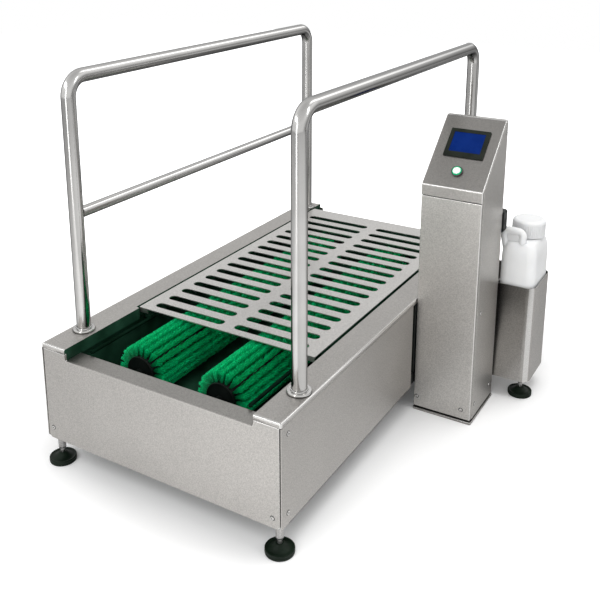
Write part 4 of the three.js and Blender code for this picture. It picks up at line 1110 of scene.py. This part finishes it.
def make_spray_pipes():
    left = LEFT_LEDGE_WIDTH + SPRAY_FROM_LEDGE
    right = RIGHT_LEDGE_INNER - SPRAY_FROM_LEDGE
    for side, x in (("left", left), ("right", right)):
        work = bmesh.new()
        ends = [(x, THRESHOLD_DEPTH + GAP, SPRAY_Z), (x, SPRAY_END, SPRAY_Z)]
        add_tube(work, ends, SPRAY_RADIUS, around=20)
        pipe = (f"{side}_spray_pipe",)
        finish_piece(f"{side}_spray_tube", work, pipe_in_painted_shade, "housing", pipe, "polished_steel")


# Rails


def make_rails():
    bore = RAIL_RADIUS + 0.3
    cover = [(bore, GAP), (33.5, GAP), (35, 2), (35, 5), (33.6, 7.2), (31, 8), (27, 7.4), (25, 7.8)]
    cover += [(24.2, 10.6), (bore, 11.4)]
    profile = [(radius, LEDGE_TOP + height) for radius, height in cover]
    foot = LEDGE_TOP + GAP
    for side, (x, front, rear, height) in (("left", LEFT_RAIL), ("right", RIGHT_RAIL)):
        work = bmesh.new()
        corners = [(x, front, foot), (x, front, height), (x, rear, height), (x, rear, foot)]
        add_tube(work, corners, RAIL_RADIUS, RAIL_BEND)
        rail = (f"{side}_handrail",)
        finish_piece(f"{side}_rail_tube", work, rail_steel, "housing", rail, "polished_steel")
        for end, y in (("front", front), ("rear", rear)):
            work = bmesh.new()
            turned_ring(work, profile, (x, y, 0), 72)
            name = f"{side}_{end}_rail_cover"
            rosette = (f"{side}_{end}_rosette",)
            finish_piece(name, work, rail_steel, "housing", rosette, "polished_steel", sharp=40)
    work = bmesh.new()
    x, front, rear, _ = LEFT_RAIL
    reach = RAIL_RADIUS - MID_RAIL_SUNK
    ends = [(x, front + reach, MID_RAIL_Z), (x, rear - reach, MID_RAIL_Z)]
    add_tube(work, ends, MID_RAIL_RADIUS)
    finish_piece("left_mid_rail_tube", work, rail_steel, "housing", ("left_mid_rail",), "polished_steel")


# Column


def slope_line(depth, y=None, z=None):
    """A point of the line that runs under the head's slope at a depth, found by its Y or its Z."""
    length = math.hypot(SLOPE_RUN, SLOPE_RISE)
    start_y = COLUMN_FRONT + depth * SLOPE_RISE / length
    start_z = SLOPE_FOOT - depth * SLOPE_RUN / length
    if y is not None:
        return y, start_z + (y - start_y) * SLOPE_RISE / SLOPE_RUN
    return start_y + (z - start_z) * SLOPE_RUN / SLOPE_RISE, z


def make_column():
    sides = (COLUMN_LEFT, COLUMN_RIGHT)
    cover_rear = COLUMN_FRONT + COVER_DEPTH
    case_front = cover_rear + SEAM
    case_top = HEAD_TOP - HOOD_FLANGE
    work = bmesh.new()
    outline = [
        (case_front, COLUMN_FOOT),
        (COLUMN_REAR, COLUMN_FOOT),
        (COLUMN_REAR, case_top),
        slope_line(HOOD_FLANGE, z=case_top),
        slope_line(HOOD_FLANGE, y=case_front),
    ]
    add_prism(work, outline, "x", *sides)
    edges = {"bevel": 1.6, "segments": 4, "bright": False}
    nodes = ("column_body", "column_head")
    finish_piece("column_case", work, sheet_upright, "housing", nodes, "sheet_steel", **edges)

    # The recessed plinth is dark, painted shade in the gap between the case and the foot plate.
    work = bmesh.new()
    inset = 8
    plinth_sides = (COLUMN_LEFT + inset, COLUMN_RIGHT - inset)
    plinth_levels = (COLUMN_PLATE + GAP, COLUMN_FOOT - GAP)
    add_block(work, *plinth_sides, case_front, COLUMN_REAR - inset, *plinth_levels)
    finish_piece("column_plinth", work, dark_frame, "housing", (), "dark_steel", bevel=0.4, segments=1)

    work = bmesh.new()
    cover_sides = (COLUMN_LEFT + SEAM, COLUMN_RIGHT - SEAM)
    add_block(work, *cover_sides, COLUMN_FRONT, cover_rear, COLUMN_FOOT + SEAM, HEAD_SEAM - SEAM / 2)
    edges = {"bevel": 2.4, "segments": 4}
    nodes = ("column_cover",)
    finish_piece("column_front_cover", work, sheet_upright, "housing", nodes, "sheet_steel", **edges)

    work = bmesh.new()
    rim = 3
    plate = (COLUMN_LEFT, COLUMN_RIGHT + rim, COLUMN_FRONT - rim, COLUMN_REAR + rim)
    add_prism(work, rounded_rectangle(*plate, (5, 5, 5, 5), 5), "z", 0, COLUMN_PLATE)
    nodes = ("column_base_plate",)
    finish_piece("column_foot_plate", work, sheet_along_x, "housing", nodes, "sheet_steel", bevel=1.0)

    work = bmesh.new()
    flange = HOOD_FLANGE - SEAM
    outline = [
        (COLUMN_FRONT, HEAD_SEAM + SEAM),
        (COLUMN_FRONT, SLOPE_FOOT),
        (COLUMN_REAR - HEAD_TOP_DEPTH, HEAD_TOP),
        (COLUMN_REAR, HEAD_TOP),
        (COLUMN_REAR, HEAD_TOP - flange),
        slope_line(flange, z=HEAD_TOP - flange),
        slope_line(flange, y=cover_rear),
        (cover_rear, HEAD_SEAM + SEAM),
    ]
    add_prism(work, outline, "x", *sides)
    edges = {"bevel": 3.0, "segments": 5}
    finish_piece("column_head_hood", work, hood_sheet, "housing", ("column_head",), "sheet_steel", **edges)


def lay_on_slope(work):
    """Moves a bmesh from the slope's own frame, across, up and outwards, to the head."""
    turn = Matrix.Rotation(math.atan2(SLOPE_RISE, SLOPE_RUN), 4, "X")
    place = Matrix.Translation((COLUMN_LEFT, COLUMN_FRONT, SLOPE_FOOT))
    bmesh.ops.transform(work, matrix=place @ turn, verts=work.verts)


def bezel_blank():
    """A raised bezel with a rounded outline round a sharp-cornered window."""
    a0, a1, b0, b1 = BEZEL
    middle_a, middle_b = (a0 + a1) / 2, (b0 + b1) / 2
    corner_steps = 5
    outer = rounded_rectangle(a0, a1, b0, b1, (2.5, 2.5, 2.5, 2.5), corner_steps)
    work = bmesh.new()
    rings = []
    for height, inset in ((0.4, 0.0), (BEZEL_TOP - 1.2, 0.0), (BEZEL_TOP, 1.2)):
        ring = []
        for a, b in outer:
            inwards_a = math.copysign(inset, a - middle_a)
            inwards_b = math.copysign(inset, b - middle_b)
            ring.append((a - inwards_a, b - inwards_b, height))
        rings.append(loop_of(work, ring))
    for lower, upper in zip(rings, rings[1:]):
        bridge(work, lower, upper)
    work.faces.new(rings[0])

    left, right, low, high = WINDOW
    window = [(left, low), (right, low), (right, high), (left, high)]
    chamfer = 0.4
    window_top = loop_of(work, [(a, b, BEZEL_TOP) for a, b in window])
    floor = []
    for a, b in window:
        inwards_a = chamfer if a < middle_a else -chamfer
        inwards_b = chamfer if b < middle_b else -chamfer
        floor.append((a + inwards_a, b + inwards_b, 3.2))
    window_floor = loop_of(work, floor)
    rim = rings[-1]
    quarter = len(outer) // 4
    for corner in range(4):
        first = corner * quarter
        following = (corner + 1) % 4
        own, after = window_top[corner], window_top[following]
        for step in range(quarter - 1):
            work.faces.new((rim[first + step], rim[first + step + 1], own))
        work.faces.new((rim[first + quarter - 1], rim[(first + quarter) % len(outer)], after, own))
        work.faces.new((own, after, window_floor[following], window_floor[corner]))
    work.faces.new(window_floor)
    return work


def make_operator_panel():
    work = bezel_blank()
    lay_on_slope(work)
    bezel = ("screen_bezel",)
    finish_piece("operator_panel_bezel", work, bezel_plastic, "housing", bezel, "black_plastic", sharp=40)
    work = bmesh.new()
    left, right, low, high = WINDOW
    play = 0.6
    add_block(work, left + play, right - play, low + play, high - play, 3.3, 4.4)
    lay_on_slope(work)
    edges = {"bevel": 0.3, "segments": 2}
    finish_piece("operator_panel_display", work, screen_cover, "housing", ("screen",), "screen_blue", **edges)


def make_start_button():
    work = bmesh.new()
    profile = [(15.4, 0.4), (18.5, 0.4), (18.5, 6.4), (17.9, 7.2), (16.6, 7.4), (16.0, 6.6), (15.7, 1.0)]
    turned_ring(work, profile, START_BUTTON, 56)
    lay_on_slope(work)
    bezel = ("button_bezel",)
    finish_piece("start_button_collar", work, collar_steel, "housing", bezel, "polished_steel", sharp=40)
    work = bmesh.new()
    profile = [(12.8, BUTTON_ROOT), (15.2, BUTTON_ROOT), (15.2, 8.2), (14.7, 9.2), (13.3, 9.4), (12.8, 8.8)]
    turned_ring(work, profile, START_BUTTON, 56)
    lay_on_slope(work)
    ring = ("button_ring",)
    finish_piece("start_button_ring", work, green_glow, "start_button", ring, "lit_green", sharp=40)
    work = bmesh.new()
    profile = [(0, BUTTON_ROOT), (12.5, BUTTON_ROOT), (12.5, 8.8), (11.6, 9.6), (0, 9.2)]
    add_turned(work, profile, START_BUTTON, 48)
    lay_on_slope(work)
    cap = ("button_cap",)
    finish_piece("start_button_lens", work, white_plastic, "start_button", cap, "white_plastic", sharp=40)


def make_isolator():
    right = COLUMN_RIGHT - ISOLATOR_FROM_EDGE
    left = right - ISOLATOR_WIDTH
    rear = COLUMN_REAR + ISOLATOR_DEPTH + GAP
    work = bmesh.new()
    outline = rounded_rectangle(left, right + ISOLATOR_REACH, ISOLATOR_LOW, ISOLATOR_HIGH, (9, 9, 9, 9), 6)
    add_prism(work, outline, "y", COLUMN_REAR + GAP, rear)
    edges = {"bevel": 4.0, "segments": 4}
    nodes = ("isolator_base",)
    finish_piece("isolator_case", work, black_plastic, "housing", nodes, "black_plastic", **edges)
    work = bmesh.new()
    x, z = (left + right) / 2, (ISOLATOR_LOW + ISOLATOR_HIGH) / 2
    start = rear + GAP
    profile = [(0, 0), (22, 0), (23, 1), (23, 8.5), (21.5, 10), (0, 10)]
    add_turned(work, profile, (x, start, z), 48, "y")
    grip = rounded_rectangle(x - 7, x + 7, z - 22.8, z + 22.8, (6.3, 6.3, 6.3, 6.3), 6)
    add_prism(work, grip, "y", start + 9, start + 28)
    nodes = ("isolator_knob",)
    finish_piece("isolator_grip", work, black_plastic, "isolator_switch", nodes, "black_plastic", bevel=1.6)


# Holder and canister. The faces are the middle ones of the bend between the holder's front and right side,
# and carry a painted highlight.

HOLDER_BEND_STEPS = 12
BRIGHT_BEND_FACES = range(16, 21)


def make_holder():
    """The sheet box, with a painted highlight down its front bend, a divider and a boss for the foot."""
    x0, x1, y0, y1, z0, z1 = HOLDER
    work = bmesh.new()
    outer = rounded_rectangle(x0, x1, y0, y1, (6, 30, 30, 6), HOLDER_BEND_STEPS)
    floor = loop_of(work, [(x, y, z0) for x, y in outer])
    rim = loop_of(work, [(x, y, z1) for x, y in outer])
    walls = bridge(work, floor, rim)
    for index in BRIGHT_BEND_FACES:
        walls[index].material_index = FOLD
    work.faces.new(list(reversed(floor)))
    box = shaped("canister_holder_sheet", work, wall=HOLDER_WALL)
    work = bmesh.new()
    inset = 2.8
    add_block(work, DIVIDER_X, DIVIDER_X + SHEET, y0 + inset, y1 - inset, z0 + inset, z1 - 0.5)
    boss = [(0, z0 - 18), (11, z0 - 18), (12, z0 - 17), (12, z0 + 0.5), (0, z0 + 0.5)]
    add_turned(work, boss, (*FEET["holder"], 0), 32)
    extras = shaped("holder_extras", work, bevel=0.5, segments=2)
    shape = joined("canister_holder_sheet", (box, extras))
    new_piece("canister_holder_sheet", shape, holder_sheet, "housing", ("canister_holder",))


def canister_body():
    """The blown body: rounded sections that narrow to the base and to the shoulders."""
    x0, x1, y0, y1, z0, z1 = CANISTER
    half_width = (x1 - x0) / 2
    levels = (
        (z0, 0.80, 14),
        (z0 + 3, 0.9, 18),
        (z0 + 12, 0.985, 26),
        (z0 + 26, 1.0, 30),
        (z1 - 62, 1.0, 30),
        (z1 - 44, 0.985, 30),
        (z1 - 28, 0.945, 30),
        (z1 - 15, 0.88, 28),
        (z1 - 6, 0.8, 26),
        (z1 - 1, 0.71, 22),
        (z1, 0.62, 18),
    )
    work = bmesh.new()
    rings = []
    for z, share, corner in levels:
        inset = half_width * (1 - share)
        section = rounded_rectangle(x0 + inset, x1 - inset, y0 + inset, y1 - inset, (corner,) * 4, 8)
        rings.append(loop_of(work, [(x, y, z) for x, y in section]))
    for lower, upper in zip(rings, rings[1:]):
        bridge(work, lower, upper)
    work.faces.new(list(reversed(rings[0])))
    work.faces.new(rings[-1])
    return shaped("canister_body", work, sharp=60)


def make_canister():
    """The body with its neck and its handle, whose loop is closed by a web."""
    x0, _, y0, _, _, z1 = CANISTER
    body = canister_body()
    work = bmesh.new()
    profile = [(42, z1 - 16), (50, z1 - 16), (50, z1 - 3), (46, z1 + 1), (46, z1 + 34), (42, z1 + 34)]
    turned_ring(work, profile, (*CAP_PLACE, 0), 56)
    neck = shaped("canister_neck", work, sharp=40)
    work = bmesh.new()
    grip_y = y0 + 30
    path = [
        (x0 + 16, grip_y, z1 - 40),
        (x0 - 2, grip_y, z1 + 38),
        (x0 + 69, grip_y, z1 + 34),
        (x0 + 69, grip_y - 12, z1 - 60),
    ]
    add_tube(work, path, 12.5, bend=18, around=32, bend_steps=12)
    web = rounded_rectangle(x0 + 4, x0 + 68, z1 - 30, z1 + 36, (4, 4, 12, 12), 5)
    add_prism(work, web, "y", grip_y - 6, grip_y + 7)
    handle = shaped("canister_handle", work, sharp=60)
    shape = joined("canister_shell", (body, neck, handle))
    new_piece("canister_shell", shape, canister_plastic, "cleaner_canister", ("canister",))


def make_canister_cap():
    """A screw cap with a dished top, whose ribs are set round it by a Geometry Nodes tree."""
    foot = CANISTER[5] + 3
    top = foot + 58
    profile = [
        (CAP_BORE, foot),
        (CAP_RADIUS - 0.4, foot),
        (CAP_RADIUS, foot + 1),
        (CAP_RADIUS, top - 10),
        (54, top - 5),
        (50, top - 1),
        (46, top),
        (42, top - 0.4),
        (38, top - 3),
        (0, top - 3.5),
        (0, top - 9),
        (CAP_BORE, top - 9),
    ]
    work = bmesh.new()
    turned_ring(work, profile, (*CAP_PLACE, 0), 96)
    cap = shaped("cap_body", work, sharp=40)
    tree = NodeTree("cap_ribs")
    count = tree.count("Ribs", 48)
    radius = tree.length("Rib circle radius", CAP_RADIUS)
    height = tree.length("Rib height", 40)
    rib = tree.length("Rib radius", 1.5)
    circle = tree.made("GeometryNodeMeshCircle", "Mesh", {"Vertices": count, "Radius": radius})
    bar_sizes = {"Vertices": 8, "Side Segments": 1, "Radius": rib, "Depth": height}
    bar = tree.made("GeometryNodeMeshCylinder", "Mesh", bar_sizes)
    placed_ribs = tree.moved(tree.on_points(circle, bar), placed(*CAP_PLACE, foot + 24))
    ribs = baked(tree.finish(placed_ribs, canister_plastic, "cap_ribs"))
    shape = joined("canister_screw_cap", (cap, ribs))
    node = ("canister_cap",)
    new_piece("canister_screw_cap", shape, canister_plastic, "canister_lid", node)


# Feet


def make_feet():
    pad = [(0, 0), (39.5, 0), (40.8, 1), (41.5, 4), (41.5, 8), (40.4, 8.8), (40.4, 10.2), (41.5, 11)]
    pad += [(41.5, 14), (40.5, 15.6), (38.5, 16), (36.5, 15), (34, 13.6), (28, 15), (20, 19.5), (15, 25)]
    pad += [(12.5, 28), (10.5, 29), (0, 29)]
    for name, (x, y) in FEET.items():
        body = f"{name}_foot"
        work = bmesh.new()
        add_turned(work, pad, (x, y, 0), 64)
        finish_piece(f"{body}_cup", work, black_rubber, body, (f"{body}_pad",), "black_rubber", sharp=60)
        top = HOLDER_STEM_TOP if name == "holder" else STEM_TOP
        stem = [(0, 28.5), (7.4, 28.5), (7.4, 45), (9.6, 46), (11.5, 48.5), (11.5, top), (0, top)]
        work = bmesh.new()
        add_turned(work, stem, (x, y, 0), 40)
        finish_piece(f"{body}_spindle", work, stem_steel, body, (f"{body}_stem",), "polished_steel", sharp=40)


# Screws, by their place and the way they face

FRONTWARDS = (0, -1, 0)
REARWARDS = (0, 1, 0)
LEFTWARDS = (-1, 0, 0)
RIGHTWARDS = (1, 0, 0)
UPPER_SCREWS = 364
LOWER_SCREWS = 128.5
SCREWS = [
    ((25.6, 0, 129), FRONTWARDS),
    ((819, 0, 121), FRONTWARDS),
    ((BODY_WIDTH, 33, UPPER_SCREWS), RIGHTWARDS),
    ((BODY_WIDTH, 32, LOWER_SCREWS), RIGHTWARDS),
    ((BODY_WIDTH, 1120, UPPER_SCREWS), RIGHTWARDS),
    ((BODY_WIDTH, 1540, UPPER_SCREWS), RIGHTWARDS),
    ((BODY_WIDTH, 1540, LOWER_SCREWS), RIGHTWARDS),
    ((861, COLUMN_FRONT, 51), FRONTWARDS),
    ((1020, COLUMN_FRONT, 46.5), FRONTWARDS),
    ((COLUMN_RIGHT, 901, 60), RIGHTWARDS),
    ((COLUMN_RIGHT, 1049, 60), RIGHTWARDS),
    ((COLUMN_RIGHT, 910, 387.5), RIGHTWARDS),
    ((COLUMN_RIGHT, 1071, 965), RIGHTWARDS),
    ((0, 33, UPPER_SCREWS), LEFTWARDS),
    ((0, 33, LOWER_SCREWS), LEFTWARDS),
    ((0, 1540, UPPER_SCREWS), LEFTWARDS),
    ((0, 1540, LOWER_SCREWS), LEFTWARDS),
    ((25.6, BODY_LENGTH, 129), REARWARDS),
    ((822, BODY_LENGTH, 129), REARWARDS),
]


def set_round_heads(name, material, slot, head_radius, head_height, socket_share):
    """Round heads with a sunk middle, set by a tree on points that know which way they face."""
    points = bpy.data.meshes.new(name)
    points.from_pydata([placed(*spot) for spot, _ in SCREWS], [], [])
    facing = points.attributes.new("facing", "FLOAT_VECTOR", "POINT")
    facing.data.foreach_set("vector", [part for _, way in SCREWS for part in way])
    tree = NodeTree(name)
    radius = tree.length("Head radius", head_radius)
    height = tree.length("Head height", head_height)
    socket = tree.size("Socket share of the head", socket_share)
    crown = tree.math("MULTIPLY", radius, 0.78)
    cone = {"Vertices": 24, "Radius Top": crown, "Radius Bottom": radius, "Depth": height}
    head = tree.node("GeometryNodeMeshCone", cone, fill_type="NGON").outputs
    top = {"Mesh": head["Mesh"], "Selection": head["Top"], "Offset Scale": 0.0}
    inner = tree.node("GeometryNodeExtrudeMesh", top, mode="FACES").outputs
    shrink = {"Geometry": inner["Mesh"], "Selection": inner["Top"], "Scale": socket}
    narrowed = tree.made("GeometryNodeScaleElements", "Geometry", shrink, domain="FACE")
    sink = {"Mesh": narrowed, "Selection": inner["Top"], "Offset Scale": tree.math("MULTIPLY", height, -0.7)}
    sunk = tree.made("GeometryNodeExtrudeMesh", "Mesh", sink, mode="FACES")
    named = {"Name": facing.name}
    way = tree.made("GeometryNodeInputNamedAttribute", "Attribute", named, data_type="FLOAT_VECTOR")
    heads = tree.on_points(tree.entry.outputs["Geometry"], sunk, Rotation=tree.facing(way))
    shape = baked(tree.finish(heads, material, name, points))
    new_piece(name, shape, material, "housing", ())


def make_screws():
    """Pan head screws, each on a dark ring that is painted shadow round its head."""
    # The dark ring under each head is painted shadow.
    washer = {"head_radius": 7.8, "head_height": 0.7, "socket_share": 0.8}
    screw = {"head_radius": 6.2, "head_height": 2.6, "socket_share": 0.5}
    set_round_heads("screw_shadow_rings", dark_frame, "dark_steel", **washer)
    set_round_heads("panel_screws", screw_steel, "polished_steel", **screw)


def dress_cad_nodes():
    """Gives the CAD nodes that stay in sight their finish."""
    finishes = {
        "tub": tub_in_painted_shade,
        "base_frame": dark_frame,
        "gear_motor": dark_frame,
        "drive_belt": black_rubber,
        # The link's black stands partly for the shade in the gap between the body's side and the column.
        "column_link": black_plastic,
        "drain_plug": sheet_upright,
        # The bearings and pulleys are dark as painted shade inside the tub.
        "left_front_bearing": casting_in_painted_shade,
        "right_front_bearing": casting_in_painted_shade,
        "left_rear_bearing": casting_in_painted_shade,
        "right_rear_bearing": casting_in_painted_shade,
        "left_brush_pulley": casting_in_painted_shade,
        "right_brush_pulley": casting_in_painted_shade,
        "motor_pulley": casting_in_painted_shade,
    }
    for name, material in finishes.items():
        node = cad_nodes[name]
        node.data.materials.clear()
        node.data.materials.append(material)


# Studio, in metres from the washer's middle. The metal mirrors its walls and floor in the greys below,
# and the other materials see plain light.

AMBIENT_LIGHT = 0.62
FLOOR_HALF = 9.0
FLOOR_BEHIND = grey_steps((0.0, 0.9), (0.48, 0.28), (0.6, 0.32), (0.8, 0.85))
FLOOR_BESIDE = grey_steps((0.14, 1.0), (0.24, 0.67), (0.4, 0.72), (0.95, 0.95))
BACK_WALL = grey_steps((0.0, 0.12), (0.17, 0.42), (0.38, 0.82), (0.58, 0.95), (0.75, 0.68), (1.0, 0.5))
FRONT_WALL = grey_steps((0.0, 0.9), (0.45, 0.88), (0.65, 0.7), (1.0, 0.5))
STREAK_ACROSS = (-0.914, 0.0, 0.404)


def make_floor():
    """A pale floor that glows for the camera away from the washer and keeps the shadow near it."""
    work = bmesh.new()
    corners = ((-1, -1), (1, -1), (1, 1), (-1, 1))
    work.faces.new(loop_of(work, [(x * FLOOR_HALF, y * FLOOR_HALF, 0.0) for x, y in corners]))
    mesh = bpy.data.meshes.new("studio_floor")
    work.to_mesh(mesh)
    work.free()
    in_scene("studio_floor", mesh)
    white = Finish("white_floor")
    ray = white.node("ShaderNodeLightPath").outputs
    spot = white.node("ShaderNodeSeparateXYZ", {"Vector": white.place}).outputs
    behind = white.ramp(white.ranged(spot["Y"], 0.0, 4.0, 0.0, 1.0), FLOOR_BEHIND)
    beside = white.ramp(white.ranged(spot["X"], 0.0, 2.0, 0.0, 1.0), FLOOR_BESIDE)
    left = white.ranged(spot["X"], -0.2, -1.3, 1.0, 0.72)
    mirrored = white.math("MULTIPLY", white.math("MULTIPLY", behind, beside), left)
    mirrored = white.ramp(mirrored, grey_steps((0.0, 0.0), (1.0, 1.0)))
    white.link(white.mixed(ray["Is Glossy Ray"], (0.95, 0.95, 0.95), mirrored), "Base Color")
    reach = white.vector_math("LENGTH", "Value", white.place)
    glow = white.ranged(reach, 0.85, 1.9, 0.05, 1.0)
    white.link(white.math("MULTIPLY", ray["Is Camera Ray"], glow), "Emission Strength")
    white.set(Roughness=1.0, Specular_IOR_Level=0.0, Emission_Color=(1.0, 1.0, 1.0, 1.0))
    mesh.materials.append(white.material)


class Surroundings(Finish):
    """The studio round the washer, by the direction that a ray leaves in."""

    def __init__(self, name):
        self.world = bpy.data.worlds.new(name)
        self.world.use_nodes = True
        self.tree = self.world.node_tree
        self.place = self.made("ShaderNodeTexCoord", "Generated")
        self.surface = self.tree.nodes["Background"]


def make_world():
    """White for the camera, even light for the surfaces, and a bright front and dark back for the metal."""
    sky = Surroundings("studio")
    bpy.context.scene.world = sky.world
    ray = sky.node("ShaderNodeLightPath").outputs
    way = sky.node("ShaderNodeSeparateXYZ", {"Vector": sky.place}).outputs
    height = sky.ranged(way["Z"], -0.2, 1.0, 0.0, 1.0)
    back = sky.ramp(height, BACK_WALL)
    front = sky.ramp(height, FRONT_WALL)
    seen = sky.mixed(sky.ranged(way["Y"], 0.25, -0.35, 0.0, 1.0), back, front)
    aside = sky.vector_math("DOT_PRODUCT", "Value", sky.place, STREAK_ACROSS)
    streak = sky.ranged(sky.math("ABSOLUTE", aside), 0.09, 0.15, 1.1, 0.0)
    streak = sky.math("MULTIPLY", streak, sky.ranged(way["Y"], 0.3, 0.5, 0.0, 1.0))
    streak = sky.math("MULTIPLY", streak, sky.ranged(way["Z"], 0.25, 0.35, 0.0, 1.0))
    seen = sky.mixed(1.0, seen, streak, blend="ADD")
    level = sky.mixed(ray["Is Glossy Ray"], (AMBIENT_LIGHT,) * 3, seen)
    sky.link(sky.mixed(ray["Is Camera Ray"], level, (1.0, 1.0, 1.0)), "Color")


def add_softbox(name, place, target, width, height, power, mirrored):
    lamp = bpy.data.lights.new(name, "AREA")
    lamp.shape = "RECTANGLE"
    lamp.size = width
    lamp.size_y = height
    lamp.energy = power
    piece = in_scene(name, lamp)
    piece.location = place
    piece.rotation_euler = (Vector(target) - Vector(place)).to_track_quat("-Z", "Y").to_euler()
    piece.visible_glossy = mirrored
    piece.visible_camera = False


def make_lamps():
    """Two wide lamps that the metal doesn't mirror, and three strips that it does."""
    add_softbox("front_softbox", (0.4, -3.2, 3.0), (0.0, 0.0, 0.4), 2.2, 2.2, 42, False)
    add_softbox("top_softbox", (0.9, 0.5, 4.0), (0.0, 0.0, 0.3), 2.8, 2.8, 76, False)
    add_softbox("post_strip", (-0.2, -3.4, 1.2), (0.2, -0.6, 0.6), 0.5, 2.4, 12, True)
    add_softbox("fold_strip", (-1.5, -2.3, 2.6), (0.0, 0.0, 0.5), 2.4, 0.5, 12, True)
    add_softbox("side_strip", (2.9, 0.1, 3.0), (0.4, 0.1, 0.8), 0.6, 1.6, 9, True)


def make_camera():
    """The photograph's viewing angle, fitted to straight edges of the washer."""
    lens = bpy.data.cameras.new("photo_camera")
    lens.sensor_width = 36.0
    lens.lens = 51.565
    lens.shift_x = 0.0078
    lens.shift_y = -0.25
    lens.clip_end = 60.0
    camera = in_scene("photo_camera", lens)
    camera.location = (1.27721, -2.40953, 1.63110)
    camera.rotation_euler = (math.radians(75.088), 0.0, math.radians(30.850))
    bpy.context.scene.camera = camera


make_camera()
make_end_panels()
make_side_panels()
make_ledges()
make_thresholds()
make_grate()
make_brushes()
make_spray_pipes()
make_rails()
make_column()
make_operator_panel()
make_start_button()
make_isolator()
make_holder()
make_canister()
make_canister_cap()
make_feet()
make_screws()
dress_cad_nodes()
make_floor()
make_world()
make_lamps()
bpy.context.scene.view_settings.view_transform = "Standard"
